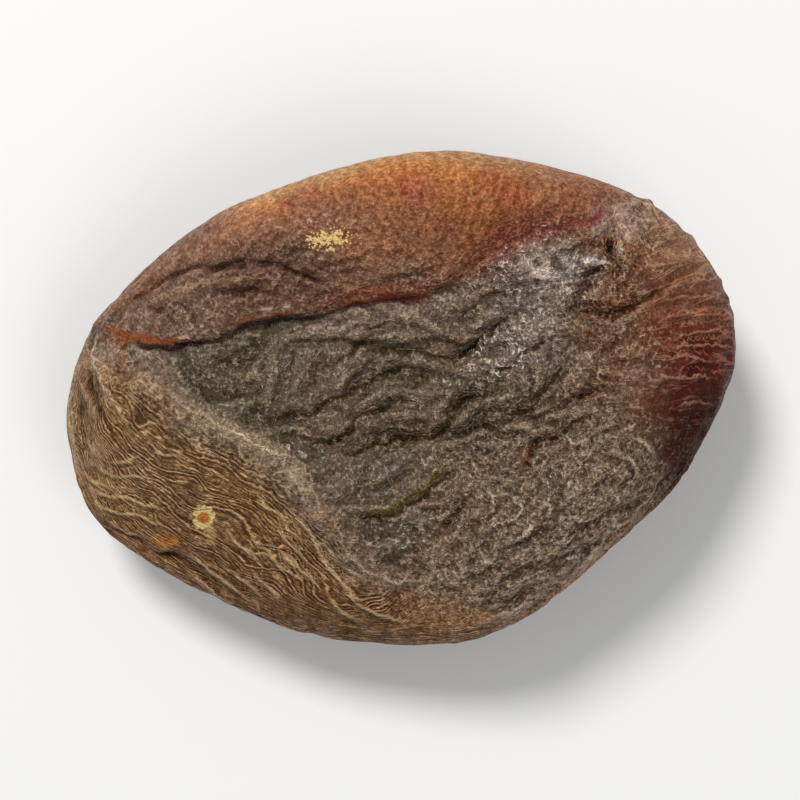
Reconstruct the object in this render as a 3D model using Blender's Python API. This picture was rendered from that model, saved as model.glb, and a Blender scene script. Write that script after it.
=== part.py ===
"""A dried apricot: whole, pitted, dark and unsulphured, lying on its belly.

It is one grown piece, so it is one closed solid. The body is a round blank
pulled out to the fruit's outline, with a crown that has a thick flap along the
back, a long fold under the flap's lip, a sunken panel in front of the fold and
a swollen lobe at the right. The belly is rounded, with one small flat spot.

Metres, +Z up. +X runs along the fruit's length, +Y towards the flap. The
origin is in the middle of the footprint box, on the surface the fruit lies on.
"""
import math

import bmesh
import bpy
import numpy as np

# ------------------------------------------------------------ driving dimensions
MM = 0.001
LENGTH = 40.0            # along X, mm
WIDTH = 29.4             # along Y
THICK = 14.4             # along Z
ROUNDS = 5               # subdivision of the round blank

# Seen from above, the widest line of the fruit, anticlockwise from the right end.
OUTLINE = [(20.0, 2.8), (19.6, 5.9), (17.9, 8.9), (15.2, 11.4), (11.6, 13.0), (7.8, 14.0), (2.8, 14.7),
           (-2.1, 14.1), (-7.6, 12.4), (-11.4, 10.7), (-15.4, 7.6), (-18.6, 3.9), (-19.9, -0.2), (-19.7, -3.7),
           (-18.1, -7.5), (-14.5, -10.1), (-10.3, -12.3), (-5.9, -14.0), (-0.5, -14.7), (4.4, -14.4),
           (8.4, -12.4), (12.7, -8.7), (16.6, -4.8), (19.1, -0.3)]
CROWN_SQUARE = 2.5       # squareness of the shoulder in section, 2 is an ellipse
BELLY_SQUARE = 2.1
BELLY_DEPTH = 6.8        # from the widest line down, before the flat spot cuts it
WIDEST_Z = 6.5           # height of the widest line in the middle

# Heights of the crown at its landmarks: x, y, z.
ENDS = [(-17.4, 1.0, 9.6), (-17.4, -3.2, 9.0), (-16.2, 4.6, 9.4), (14.2, 10.6, 11.0), (15.8, 7.6, 11.5), (17.2, 4.6, 10.8),
        (-14.4, 3.3, 10.5), (12.8, 11.0, 12.0)]
FLAP = [(-13.4, 7.6, 10.3), (-11.6, 4.9, 11.4), (-10.2, 9.2, 11.8), (-8.4, 6.0, 11.8), (-5.0, 10.6, 13.1),
        (-4.0, 6.6, 12.3), (0.0, 11.4, 13.8), (0.6, 7.4, 12.7), (5.0, 11.8, 14.1), (4.8, 9.4, 13.3), (9.6, 11.8, 12.9)]
FRONT = [(-9.6, 1.4, 10.7), (-5.5, 2.6, 10.7), (-0.6, 3.2, 10.8), (3.6, 4.6, 11.2), (2.0, -0.4, 10.1), (-3.4, -1.0, 10.3),
         (6.4, 1.4, 11.0), (7.4, 7.0, 12.2), (11.2, 8.6, 12.5),                            # sunken panel
         (-7.0, 3.6, 11.0), (-3.0, 4.0, 11.3), (0.6, 4.7, 11.5), (5.5, 6.8, 12.0),         # its upper side, along the fold
         (-14.6, 0.8, 11.0), (-11.4, -1.2, 11.5), (-7.8, -3.2, 11.6), (-5.0, -6.2, 11.1), (-1.8, -9.4, 10.4),  # its lower rim
         (-1.6, -5.0, 10.5), (0.8, -6.6, 10.5), (1.6, -10.6, 10.3),
         (10.4, 2.4, 12.0), (14.2, 2.4, 12.4), (9.4, -3.4, 12.5), (13.2, -3.2, 12.2), (7.6, -7.4, 12.1), (4.6, -10.0, 11.2),  # lobe
         (-14.6, -3.8, 10.3), (-10.6, -6.8, 9.9), (-5.2, -11.0, 8.9)]                      # left flank
# The long fold, from the left end to the back, and its lip.
FOLD = [(-24.0, 6.2), (-19.5, 4.6), (-17.2, 3.8), (-14.3, 3.2), (-11.6, 3.4), (-9.3, 4.2), (-6.6, 4.9), (-3.8, 5.1),
        (-0.7, 5.7), (1.1, 5.8), (3.8, 7.2), (6.5, 9.1), (9.5, 9.8), (12.0, 10.8), (13.2, 12.0), (15.0, 15.0), (17.0, 19.0)]
FOLD_WIDTH = 1.8         # half width over which the crown steps down
LIP = 0.22               # how far the lip leans over the fold
# Broad creases in the crown: depth, half width, points.
CREASES = [(0.40, 1.2, [(-1.4, 3.2), (2.2, 1.7), (4.3, 3.1), (7.2, 5.3)]),
           (0.40, 1.2, [(-3.2, -3.1), (-0.5, -2.3), (2.0, -2.1), (3.0, -0.7), (5.2, 0.4), (8.8, 1.1)]),
           (0.35, 1.2, [(-16.1, 5.7), (-13.2, 7.2), (-8.3, 7.9), (-4.3, 6.5)]),
           (0.25, 1.1, [(9.4, 4.9), (12.9, 5.1), (15.5, 6.8)])]
# The small lip low in the panel: height, half width, points, high side on the left.
STEPS = [(0.60, 1.0, [(-3.0, -6.2), (-0.7, -6.6), (1.3, -5.6), (3.0, -3.4)])]
STEM_END = (17.2, -4.4)  # dimple under the right end
STEM_DIMPLE = 0.6
SUTURE = 0.35            # depth of the groove along the belly


def smooth(a, b, x):
    t = np.clip((x - a) / (b - a), 0.0, 1.0)
    return t * t * (3.0 - 2.0 * t)


def spline(points, per, closed=False):
    """A smooth curve through the points."""
    p = np.array(points, float)
    n = len(p)
    out = []
    for i in range(n if closed else n - 1):
        b, c = p[i], p[(i + 1) % n]
        a = p[i - 1] if closed or i else 2 * b - c
        d = p[(i + 2) % n] if closed or i + 2 < n else 2 * c - b
        for k in range(per):
            t = k / per
            out.append(0.5 * (2 * b + (c - a) * t + (2 * a - 5 * b + 4 * c - d) * t * t + (3 * b - a - 3 * c + d) * t ** 3))
    return np.array(out if closed else out + [p[-1]])


def along(xy, line):
    """Distance to a curve, positive on its left, the length along it, and its direction there."""
    a, d = line[:-1], line[1:] - line[:-1]
    span = np.hypot(d[:, 0], d[:, 1])
    start = np.concatenate([[0.0], np.cumsum(span)[:-1]])
    w = xy[:, None] - a[None]
    t = np.clip((w * d).sum(2) / span ** 2, 0.0, 1.0)
    off = w - t[..., None] * d
    i = np.argmin((off ** 2).sum(2), 1)
    row = np.arange(len(xy))
    side = np.where(d[i, 0] * w[row, i, 1] - d[i, 1] * w[row, i, 0] >= 0, 1.0, -1.0)
    return (side * np.sqrt((off[row, i] ** 2).sum(1)), start[i] + t[row, i] * span[i],
            d[i] / span[i][:, None], span.sum())


class Plate:
    """A thin plate bent over scattered heights."""
    def __init__(self, xy, value, ease=0.6):
        self.p, n = xy, len(xy)
        a = np.zeros((n + 3, n + 3))
        a[:n, :n] = self.kernel(xy) + ease * np.eye(n)
        a[:n, n], a[:n, n + 1:] = 1.0, xy
        a[n:, :n] = a[:n, n:].T
        self.w = np.linalg.solve(a, np.concatenate([value, np.zeros(3)]))

    def kernel(self, xy):
        r2 = ((xy[:, None] - self.p[None]) ** 2).sum(2)
        return 0.5 * r2 * np.log(np.maximum(r2, 1e-12))

    def __call__(self, xy):
        n = len(self.p)
        return self.kernel(xy) @ self.w[:n] + self.w[n] + xy @ self.w[n + 1:]


EDGE = spline(OUTLINE, 8, closed=True)
EDGE_TURN = np.arctan2(EDGE[:, 1], EDGE[:, 0])
EDGE_ORDER = np.argsort(EDGE_TURN)


def reach(turn):
    """How far the widest line is from the middle, by direction."""
    return np.interp(turn, EDGE_TURN[EDGE_ORDER], np.hypot(EDGE[:, 0], EDGE[:, 1])[EDGE_ORDER], period=2 * math.pi)


def widest(xy):
    return WIDEST_Z + 0.02 * xy[:, 0] + 0.05 * xy[:, 1]


def crown(spots):
    """The crown's height over the widest line, before it is rounded off at the shoulder."""
    p = np.array(spots, float)
    out = np.hypot(p[:, 0], p[:, 1]) / reach(np.arctan2(p[:, 1], p[:, 0]))
    round_off = np.maximum(1.0 - np.clip(out, 0, 1) ** CROWN_SQUARE, 0.0) ** (1.0 / CROWN_SQUARE)
    return Plate(p[:, :2], (p[:, 2] - widest(p[:, :2])) / np.maximum(round_off, 0.35))


def fruit(ball):
    """Points on a ball of radius 1 to points on the fruit, mm."""
    turn = np.arctan2(ball[:, 1], ball[:, 0])
    down = np.arctan2(np.hypot(ball[:, 0], ball[:, 1]), ball[:, 2])
    down -= 0.20 * np.sin(2 * down)
    top = down <= math.pi / 2
    square = np.where(top, CROWN_SQUARE, BELLY_SQUARE)
    q = np.sin(down) ** (2 / square)
    round_off = np.abs(np.cos(down)) ** (2 / square)
    xy = (reach(turn) * q)[:, None] * np.stack([np.cos(turn), np.sin(turn)], 1)
    z0 = widest(xy)

    # crown: the flap's height on one side of the fold and the panel's on the other
    off, run, way, length = along(xy, spline(FOLD, 6))
    held = smooth(5.0, 14.0, run) * smooth(length - 8.0, length - 13.0, run) * smooth(0.1, 0.5, round_off)
    t = off / FOLD_WIDTH
    low, high = crown(ENDS + FRONT)(xy), crown(ENDS + FLAP)(xy)
    z_top = z0 + (low + (high - low) * smooth(-0.3, 0.6, t)) * round_off
    z_top -= 0.35 * held * np.exp(-((t + 0.4) / 0.35) ** 2)
    fade = smooth(0.0, 0.45, round_off)
    for depth, half, points in CREASES:
        d, s, _, total = along(xy, spline(points, 5))
        z_top -= depth * np.exp(-(d / half) ** 2) * smooth(-1.0, 2.0, s) * smooth(total + 1.0, total - 2.0, s) * fade
    for height, half, points in STEPS:
        d, s, _, total = along(xy, spline(points, 5))
        inside = smooth(-0.5, 2.0, s) * smooth(total + 0.5, total - 2.0, s) * np.exp(-(d / 3.0) ** 2)
        z_top += height * (smooth(-0.5, 0.5, d / half) - 0.5) * inside * fade
    lean = np.where(np.abs(t) < 1, -np.sin(math.pi * t) * (1 - t * t), 0.0) * LIP * FOLD_WIDTH * held * top

    # belly: rounded, a little lopsided, with the suture and the stem dimple
    lopside = 0.25 * np.cos(2 * turn - 0.8) * q - 0.3 * np.cos(3 * turn + 1.0) * q * q + 0.02 * xy[:, 0] + 0.04 * xy[:, 1]
    z_low = WIDEST_Z + (z0 - WIDEST_Z) * (1.0 - round_off) - (BELLY_DEPTH + lopside) * round_off
    d, s, _, total = along(xy, spline([(19.0, -4.6), (12.0, -8.0), (0.0, -9.4), (-12.0, -7.6), (-19.0, -2.0)], 8))
    z_low += SUTURE * np.exp(-(d / 1.3) ** 2) * smooth(0.0, 6.0, s) * smooth(0.0, 0.4, round_off)
    z_low += STEM_DIMPLE * np.exp(-((xy - np.array(STEM_END)) ** 2).sum(1) / 2.2 ** 2)

    xy = xy + np.stack([-way[:, 1], way[:, 0]], 1) * lean[:, None]
    return np.column_stack([xy, np.maximum(np.where(top, z_top, z_low), 0.0)])


# ---------------------------------------------------------------------- the scene
for old in list(bpy.data.objects):
    bpy.data.objects.remove(old, do_unlink=True)
collection = bpy.data.collections.new("dried_apricot")
bpy.context.scene.collection.children.link(collection)

skin = bpy.data.materials.new("apricot_skin")
skin.use_nodes = True
shader = skin.node_tree.nodes["Principled BSDF"]
shader.inputs["Base Color"].default_value = (0.105, 0.058, 0.032, 1.0)
shader.inputs["Roughness"].default_value = 0.55
shader.inputs["Metallic"].default_value = 0.0

bm = bmesh.new()
bmesh.ops.create_icosphere(bm, subdivisions=ROUNDS, radius=1.0)
points = fruit(np.array([v.co[:] for v in bm.verts]))
low, high = points.min(0), points.max(0)
points = (points - [(low[0] + high[0]) / 2, (low[1] + high[1]) / 2, low[2]]) * (np.array([LENGTH, WIDTH, THICK]) / (high - low))
for vert, point in zip(bm.verts, points):
    vert.co = point * MM
bmesh.ops.recalc_face_normals(bm, faces=bm.faces)
mesh = bpy.data.meshes.new("apricot")
bm.to_mesh(mesh)
bm.free()
mesh.shade_smooth()
mesh.materials.append(skin)
apricot = bpy.data.objects.new("apricot", mesh)
collection.objects.link(apricot)
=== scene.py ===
"""Looks of the dried apricot: its fine surface, its skin, the stage, the light and the camera.

The fruit is grown from a round blank, as its CAD solid is, but with the fold's
overhang, the creases and ridges of the crown and a skin of fine wrinkles that
are grown on the surface by short-range activation and long-range inhibition.
"""
import math
import time

import bmesh
import bpy
import numpy as np
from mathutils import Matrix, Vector


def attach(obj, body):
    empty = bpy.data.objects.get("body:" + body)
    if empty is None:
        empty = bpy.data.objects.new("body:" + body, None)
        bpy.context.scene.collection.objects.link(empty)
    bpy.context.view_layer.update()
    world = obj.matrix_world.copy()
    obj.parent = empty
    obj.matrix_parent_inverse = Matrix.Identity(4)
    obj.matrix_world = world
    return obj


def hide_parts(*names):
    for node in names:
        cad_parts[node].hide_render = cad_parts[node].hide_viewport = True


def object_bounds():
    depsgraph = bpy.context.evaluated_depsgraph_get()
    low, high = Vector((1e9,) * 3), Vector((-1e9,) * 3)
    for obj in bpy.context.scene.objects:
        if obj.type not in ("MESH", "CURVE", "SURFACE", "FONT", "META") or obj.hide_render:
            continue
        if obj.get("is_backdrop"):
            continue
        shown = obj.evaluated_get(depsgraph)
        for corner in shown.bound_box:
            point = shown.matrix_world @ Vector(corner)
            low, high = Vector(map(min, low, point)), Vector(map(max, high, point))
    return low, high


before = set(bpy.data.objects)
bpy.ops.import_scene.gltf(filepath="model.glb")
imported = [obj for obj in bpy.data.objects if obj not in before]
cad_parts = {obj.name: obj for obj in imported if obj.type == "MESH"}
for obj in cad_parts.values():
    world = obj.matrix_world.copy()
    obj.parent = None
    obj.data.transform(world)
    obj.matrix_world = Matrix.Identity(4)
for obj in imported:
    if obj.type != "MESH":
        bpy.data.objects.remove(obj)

CLOCK = time.time()
CAD_LOW, CAD_HIGH = (np.array(v[:]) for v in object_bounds())
SEED = 20
MM = 0.001

# ================================================================ form, in mm
OUTLINE = [(20.0, 2.8), (19.6, 5.9), (17.9, 8.9), (15.2, 11.4), (11.6, 13.0), (7.8, 14.0), (2.8, 14.7),
           (-2.1, 14.1), (-7.6, 12.4), (-11.4, 10.7), (-15.4, 7.6), (-18.6, 3.9), (-19.9, -0.2), (-19.7, -3.7),
           (-18.1, -7.5), (-14.5, -10.1), (-10.3, -12.3), (-5.9, -14.0), (-0.5, -14.7), (4.4, -14.4),
           (8.4, -12.4), (12.7, -8.7), (16.6, -4.8), (19.1, -0.3)]
CROWN_SQUARE, BELLY_SQUARE, BELLY_DEPTH, WIDEST_Z = 2.5, 2.1, 6.8, 6.5
ENDS = [(-17.4, 1.0, 9.6), (-17.4, -3.2, 9.0), (-16.2, 4.6, 9.4), (14.2, 10.6, 11.0), (15.8, 7.6, 11.5), (17.2, 4.6, 10.8),
        (-14.4, 3.3, 10.5), (12.8, 11.0, 12.0)]
FLAP = [(-13.4, 7.6, 10.3), (-11.6, 4.9, 11.4), (-10.2, 9.2, 11.8), (-8.4, 6.0, 11.8), (-5.0, 10.6, 13.1),
        (-4.0, 6.6, 12.3), (0.0, 11.4, 13.8), (0.6, 7.4, 12.7), (5.0, 11.8, 14.1), (4.8, 9.4, 13.3), (9.6, 11.8, 12.9)]
FRONT = [(-9.6, 1.4, 10.7), (-5.5, 2.6, 10.7), (-0.6, 3.2, 10.8), (3.6, 4.6, 11.2), (2.0, -0.4, 10.1), (-3.4, -1.0, 10.3),
         (6.4, 1.4, 11.0), (7.4, 7.0, 12.2), (11.2, 8.6, 12.5),
         (-14.6, 0.8, 11.0), (-11.4, -1.2, 11.5), (-7.8, -3.2, 11.6), (-5.0, -6.2, 11.1), (-1.8, -9.4, 10.4),
         (-1.6, -5.0, 10.5), (0.8, -6.6, 10.5), (1.6, -10.6, 10.3),
         (10.4, 2.4, 12.0), (14.2, 2.4, 12.4), (9.4, -3.4, 12.5), (13.2, -3.2, 12.2), (7.6, -7.4, 12.1), (4.6, -10.0, 11.2),
         (-7.0, 3.6, 11.0), (-3.0, 4.0, 11.3), (0.6, 4.7, 11.5), (5.5, 6.8, 12.0),
         (-14.6, -3.8, 10.3), (-10.6, -6.8, 9.9), (-5.2, -11.0, 8.9)]
FOLD = [(-24.0, 6.2), (-19.5, 4.6), (-17.2, 3.8), (-15.7, 3.4), (-14.3, 3.2), (-12.9, 3.1), (-11.6, 3.4), (-10.4, 3.7),
        (-9.3, 4.2), (-8.0, 4.6), (-6.6, 4.9), (-5.2, 4.9), (-3.8, 5.1), (-2.3, 5.5), (-0.7, 5.7), (1.1, 5.8), (2.5, 6.3),
        (3.8, 7.2), (5.2, 8.2), (6.5, 9.1), (7.9, 9.6), (9.5, 9.8), (10.8, 10.1), (12.0, 10.8), (13.2, 12.0), (15.0, 15.0), (17.0, 19.0)]
FOLD_WIDTH = 1.15
LIP = 0.70
STEM_END = (17.2, -4.4)
STEM_DIMPLE = 0.7
SUTURE = 0.4
SUTURE_LINE = [(19.0, -4.6), (12.0, -8.0), (0.0, -9.4), (-12.0, -7.6), (-19.0, -2.0)]

# Creases and crests of the crown: height (down is negative), half width, points.
LINES = [
    # folds under the flap's left end
    (-0.18, 0.20, [(-16.1, 5.7), (-15.3, 6.2), (-14.3, 6.7), (-13.2, 7.2), (-11.7, 7.6), (-10.0, 7.8), (-8.3, 7.9), (-6.8, 7.7), (-5.5, 7.2), (-4.3, 6.5)]),
    (0.10, 0.45, [(-14.9, 5.6), (-13.0, 6.3), (-11.4, 6.8), (-9.6, 7.1), (-7.8, 7.1), (-6.4, 6.8)]),
    (-0.15, 0.20, [(-11.3, 6.0), (-10.2, 6.3), (-8.9, 6.2), (-7.3, 6.0)]),
    (-0.22, 0.24, [(-13.2, 5.8), (-12.5, 5.3), (-11.9, 4.6), (-11.5, 3.7)]),
    (-0.20, 0.24, [(-15.0, 5.5), (-13.7, 5.1), (-12.8, 4.3)]),
    # creases of the sunken panel
    (-0.20, 0.28, [(-2.4, 3.1), (-1.2, 3.0), (0.0, 2.9), (1.1, 2.5), (2.3, 2.3), (3.4, 2.3)]),
    (-0.38, 0.32, [(2.2, 2.2), (3.2, 2.2), (3.9, 2.7), (4.5, 3.3), (5.2, 3.9), (6.0, 4.5), (7.0, 5.2)]),
    (-0.22, 0.26, [(-3.9, 1.9), (-3.0, 2.5), (-1.9, 3.3), (-0.8, 3.8)]),
    (-0.20, 0.26, [(-2.2, 0.6), (-1.2, 1.3), (-0.2, 1.8), (0.8, 2.3)]),
    (-0.24, 0.28, [(4.6, 1.2), (5.6, 1.8), (6.8, 2.3), (7.9, 3.0), (8.8, 3.9)]),
    (-0.34, 0.32, [(1.6, 1.9), (1.0, 1.1), (0.5, 0.0)]),
    (-0.22, 0.30, [(-8.2, -1.2), (-6.6, -1.0), (-4.8, -0.6), (-3.8, 0.0), (-2.5, 0.5), (-1.2, 1.3)]),
    (-0.36, 0.30, [(-5.0, -2.7), (-4.0, -2.3), (-3.0, -1.8), (-2.3, -0.9), (-1.4, -0.5), (-0.1, -0.1)]),
    (-0.44, 0.32, [(-3.2, -3.1), (-1.8, -2.8), (-0.5, -2.3), (1.1, -2.2), (2.0, -2.2), (2.6, -1.5), (3.0, -0.7), (3.8, 0.0), (5.2, 0.4)]),
    (-0.28, 0.28, [(-1.4, -1.7), (-0.2, -1.5), (0.9, -1.3), (2.1, -1.3)]),
    (-0.34, 0.32, [(2.5, -2.3), (3.6, -1.8), (4.7, -1.5), (5.9, -1.8), (6.8, -2.0)]),
    (-0.34, 0.32, [(4.1, -1.0), (5.6, -0.6), (7.1, -0.4), (7.9, 0.3), (8.8, 1.1), (9.7, 1.9)]),
    (-0.26, 0.28, [(7.0, -1.1), (8.2, -0.7), (9.6, -0.1), (11.1, 0.4), (12.4, 0.6)]),
    (-0.32, 0.34, [(7.2, -3.8), (7.7, -3.0), (8.1, -2.3), (9.3, -1.8), (10.4, -1.3), (11.3, -1.0)]),
    (-0.22, 0.34, [(0.7, -7.7), (1.0, -8.7), (1.1, -9.7)]),
    (-0.24, 0.32, [(1.8, -7.5), (2.8, -7.0), (3.9, -6.0)]),
    # right end
    (-0.34, 0.24, [(9.4, 4.9), (10.4, 5.1), (11.5, 5.0), (12.9, 5.1), (14.0, 5.6), (14.8, 6.3), (15.5, 6.8)]),
    (0.07, 0.24, [(10.1, 4.4), (11.4, 4.5), (12.6, 4.4), (13.4, 4.8), (14.1, 5.3), (14.8, 5.9)]),
    (-0.30, 0.24, [(9.6, 5.0), (10.1, 5.8), (10.6, 6.6), (11.1, 7.2), (11.9, 7.7)]),
    (-0.50, 0.30, [(11.95, 9.5), (12.05, 8.8), (12.3, 8.1), (12.9, 7.5)]),
    (0.26, 0.22, [(12.45, 9.3), (12.6, 8.6), (12.85, 8.1), (13.4, 7.8)]),
    (-0.26, 0.22, [(12.9, 9.2), (13.1, 8.6), (13.6, 8.2)]),
    (0.16, 0.22, [(13.3, 9.4), (13.6, 8.9), (14.2, 8.5)]),
    (0.10, 0.28, [(7.0, 10.6), (7.9, 11.5), (8.9, 12.3), (10.2, 12.6), (11.8, 12.5), (13.1, 11.9)]),
    (0.18, 0.26, [(12.0, 11.0), (12.9, 11.4), (13.8, 11.5), (14.7, 11.2), (15.3, 10.3)]),
    (0.15, 0.24, [(11.8, 10.2), (12.5, 10.5), (13.3, 10.6), (14.5, 10.3), (15.1, 9.4)]),
    # a crest along the lower right edge; its pale line is a painted highlight
    (0.12, 0.24, [(4.0, -13.2), (6.4, -12.5), (8.5, -11.4), (10.4, -9.8), (12.0, -8.2), (13.5, -6.8), (14.6, -5.4), (15.2, -4.0)]),
    # crest round the panel's lower edge and down the left end
    (0.11, 0.38, [(-13.4, 0.3), (-12.5, -0.3), (-11.5, -0.8), (-10.4, -1.4), (-9.8, -1.8)]),
    (0.24, 0.36, [(-10.8, -1.2), (-10.0, -1.6), (-9.6, -1.9), (-8.8, -2.4), (-7.8, -2.8), (-6.9, -3.0), (-6.1, -3.2), (-5.7, -3.8)]),
    (0.11, 0.34, [(-6.0, -3.3), (-5.6, -4.2), (-5.1, -5.4), (-4.4, -6.6)]),
    (0.12, 0.42, [(-3.9, -7.1), (-3.1, -8.7), (-1.9, -9.7), (-0.2, -10.4), (1.6, -10.8)]),
    (0.22, 0.26, [(-18.0, 3.8), (-17.8, 2.4), (-17.4, 1.3), (-16.9, 0.5), (-16.3, -0.5), (-15.7, -2.0)]),
    (0.18, 0.26, [(-19.0, 1.6), (-18.6, 0.7), (-18.1, -0.1), (-17.8, -0.9)]),
    (0.20, 0.26, [(-19.6, 0.6), (-19.5, -1.0), (-19.3, -2.4), (-18.9, -3.7)]),
    (-0.20, 0.22, [(-19.1, 0.5), (-18.9, -0.9), (-18.7, -2.3), (-18.2, -3.4)]),
    (-0.22, 0.24, [(-18.4, 2.0), (-18.1, 0.6), (-17.6, -0.6), (-17.0, -1.8), (-16.4, -2.8)]),
    (-0.26, 0.40, [(-17.7, -7.9), (-16.3, -8.4), (-15.0, -8.9), (-13.6, -9.4), (-12.5, -10.0), (-11.1, -11.2)]),
]
# Ribs over the right end, from the shoulder down to the widest line: start, end, height.
RIBS = [((14.4, 9.0), (17.8, 9.7), 0.26), ((14.4, 7.6), (18.1, 8.1), 0.30), ((15.2, 6.4), (18.9, 7.1), 0.26),
        ((15.2, 5.8), (19.2, 5.9), 0.26), ((16.1, 3.8), (19.5, 4.0), 0.30), ((14.9, 2.5), (18.1, 2.3), 0.24),
        ((14.4, 1.1), (17.8, 1.3), 0.26), ((16.3, -0.4), (17.8, -0.2), 0.22), ((15.6, 4.8), (19.6, 5.0), 0.20),
        ((15.8, 3.1), (19.6, 3.1), 0.18)]
# Long fine wrinkles of the flank, round the left end and down along the lower edge.
STRANDS = [
    [(-8.5, -8.3), (-7.7, -9.0), (-7.0, -9.8), (-6.3, -10.3), (-5.6, -10.9)],
    [(-8.2, -7.8), (-7.3, -8.5), (-6.7, -9.1), (-5.9, -9.9), (-4.9, -10.9), (-4.2, -11.5)],
    [(-8.9, -10.0), (-8.2, -10.7), (-7.5, -11.3), (-6.7, -12.0)],
    [(-4.6, -11.2), (-3.9, -12.0), (-3.1, -12.7), (-1.7, -13.3)],
    [(-3.9, -9.5), (-2.9, -10.0), (-1.9, -10.3)],
    [(-18.8, -4.9), (-17.9, -5.5), (-17.0, -5.8), (-15.8, -5.9), (-15.0, -6.2), (-13.8, -6.4)],
    [(-19.1, -4.1), (-18.4, -4.7), (-17.5, -5.1), (-16.4, -5.3), (-15.2, -5.4)],
    [(-18.5, -5.4), (-17.7, -6.4), (-16.5, -6.8), (-15.4, -6.9), (-14.5, -7.2), (-13.7, -7.6)],
    [(-18.2, -3.5), (-17.5, -4.2), (-16.5, -4.5), (-15.5, -4.5), (-14.4, -4.7)],
    [(-17.4, -3.6), (-16.5, -3.7), (-15.7, -3.5), (-15.0, -3.2)],
    [(-17.8, -7.1), (-17.0, -7.6), (-16.1, -7.9), (-15.0, -8.2)],
    [(-18.3, -7.7), (-17.4, -8.6), (-16.5, -9.3), (-15.3, -10.0)],
    [(-10.7, -9.7), (-9.6, -10.4), (-8.6, -11.2), (-7.9, -11.9)],
    [(-4.8, -8.1), (-4.1, -8.9), (-3.4, -9.6)],
    [(-8.7, -5.1), (-7.9, -6.1), (-7.0, -6.7), (-6.2, -7.8), (-5.1, -8.6)],
    [(-12.9, -9.0), (-11.8, -9.7), (-10.6, -10.6), (-9.6, -11.4), (-8.8, -12.1)],
    [(-10.4, -7.4), (-9.6, -8.2), (-8.9, -9.0), (-8.0, -9.9)],
    [(-6.6, -6.0), (-5.9, -7.0), (-5.2, -7.7), (-4.7, -8.9), (-3.9, -10.2), (-2.6, -11.3)],
    [(-3.6, -11.0), (-2.4, -12.0), (-1.0, -12.7), (0.6, -13.0)],
    [(-19.3, -1.2), (-19.3, -2.3), (-18.9, -3.4)],
    [(-19.7, 0.8), (-19.7, -0.8), (-19.6, -2.4), (-19.2, -4.0), (-18.9, -5.2)],
    [(-18.9, -0.4), (-18.6, -1.7), (-18.1, -2.8), (-17.4, -3.5)],
    [(-13.0, -10.0), (-12.0, -10.8), (-11.0, -11.6), (-10.0, -12.2)],
    [(-7.6, -6.9), (-6.9, -7.7), (-6.3, -8.5), (-5.6, -9.2), (-4.9, -10.2)],
]
# Short curls of skin on the lobe, raised a little, drawn pale with painted glints and with painted shadow on one side.
CURLS = [
    [(6.2, -8.4), (6.9, -8.1), (7.5, -7.6), (7.8, -7.2)],
    [(8.3, -5.8), (8.6, -6.2), (8.5, -6.8)],
    [(10.4, -3.6), (10.9, -3.3), (11.1, -2.8)],
    [(11.9, -5.2), (12.4, -5.5), (12.5, -6.1)],
    [(9.9, -6.6), (10.6, -6.9), (11.3, -6.7), (11.8, -6.2)],
    [(5.3, -5.2), (5.5, -5.8), (5.4, -6.4)],
    [(6.4, -5.6), (6.9, -6.0), (6.8, -6.7), (6.2, -7.0)],
    [(9.0, -8.0), (9.6, -8.3), (10.1, -8.0)],
    [(12.9, -3.2), (13.5, -3.6), (13.9, -4.3)],
    [(13.6, -2.2), (14.2, -2.6), (14.7, -3.3)],
    [(4.6, -9.0), (5.2, -9.5), (5.9, -9.4)],
    [(9.4, -1.9), (9.9, -2.4), (10.6, -2.4)],
]
# The small olive lip low in the panel.
OLIVE = (0.50, 0.34, [(-3.0, -6.2), (-2.2, -6.5), (-1.2, -6.5), (-0.1, -6.1), (0.9, -5.5), (1.8, -4.8), (2.4, -4.1), (2.9, -3.5)])


def smooth(a, b, x):
    t = np.clip((x - a) / (b - a), 0.0, 1.0)
    return t * t * (3.0 - 2.0 * t)


def spline(points, per, closed=False):
    """A smooth curve through the points."""
    p = np.array(points, float)
    n = len(p)
    out = []
    for i in range(n if closed else n - 1):
        b, c = p[i], p[(i + 1) % n]
        a = p[i - 1] if closed or i else 2 * b - c
        d = p[(i + 2) % n] if closed or i + 2 < n else 2 * c - b
        for k in range(per):
            t = k / per
            out.append(0.5 * (2 * b + (c - a) * t + (2 * a - 5 * b + 4 * c - d) * t * t + (3 * b - a - 3 * c + d) * t ** 3))
    return np.array(out if closed else out + [p[-1]])


def along(xy, line, within=None):
    """Distance to a curve, positive on its left, the length along it, its direction there, and its whole length.
    With within, only points that near to the curve's box are measured, and the rest get a large distance."""
    a, d = line[:-1], line[1:] - line[:-1]
    span = np.hypot(d[:, 0], d[:, 1])
    start = np.concatenate([[0.0], np.cumsum(span)[:-1]])
    if within is not None:
        low, high = line.min(0) - within, line.max(0) + within
        near = np.where(((xy > low) & (xy < high)).all(1))[0]
        off, run, way = np.full(len(xy), 99.0), np.zeros(len(xy)), np.tile([1.0, 0.0], (len(xy), 1))
        if len(near):
            off[near], run[near], way[near], _ = along(xy[near], line)
        return off, run, way, span.sum()
    off, run, way = np.empty(len(xy)), np.empty(len(xy)), np.empty((len(xy), 2))
    for k in range(0, len(xy), 8192):
        part = xy[k:k + 8192]
        w = part[:, None] - a[None]
        t = np.clip((w * d).sum(2) / span ** 2, 0.0, 1.0)
        gap = w - t[..., None] * d
        i = np.argmin((gap ** 2).sum(2), 1)
        row = np.arange(len(part))
        side = np.where(d[i, 0] * w[row, i, 1] - d[i, 1] * w[row, i, 0] >= 0, 1.0, -1.0)
        off[k:k + 8192] = side * np.sqrt((gap[row, i] ** 2).sum(1))
        run[k:k + 8192] = start[i] + t[row, i] * span[i]
        way[k:k + 8192] = d[i] / span[i][:, None]
    return off, run, way, span.sum()


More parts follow.
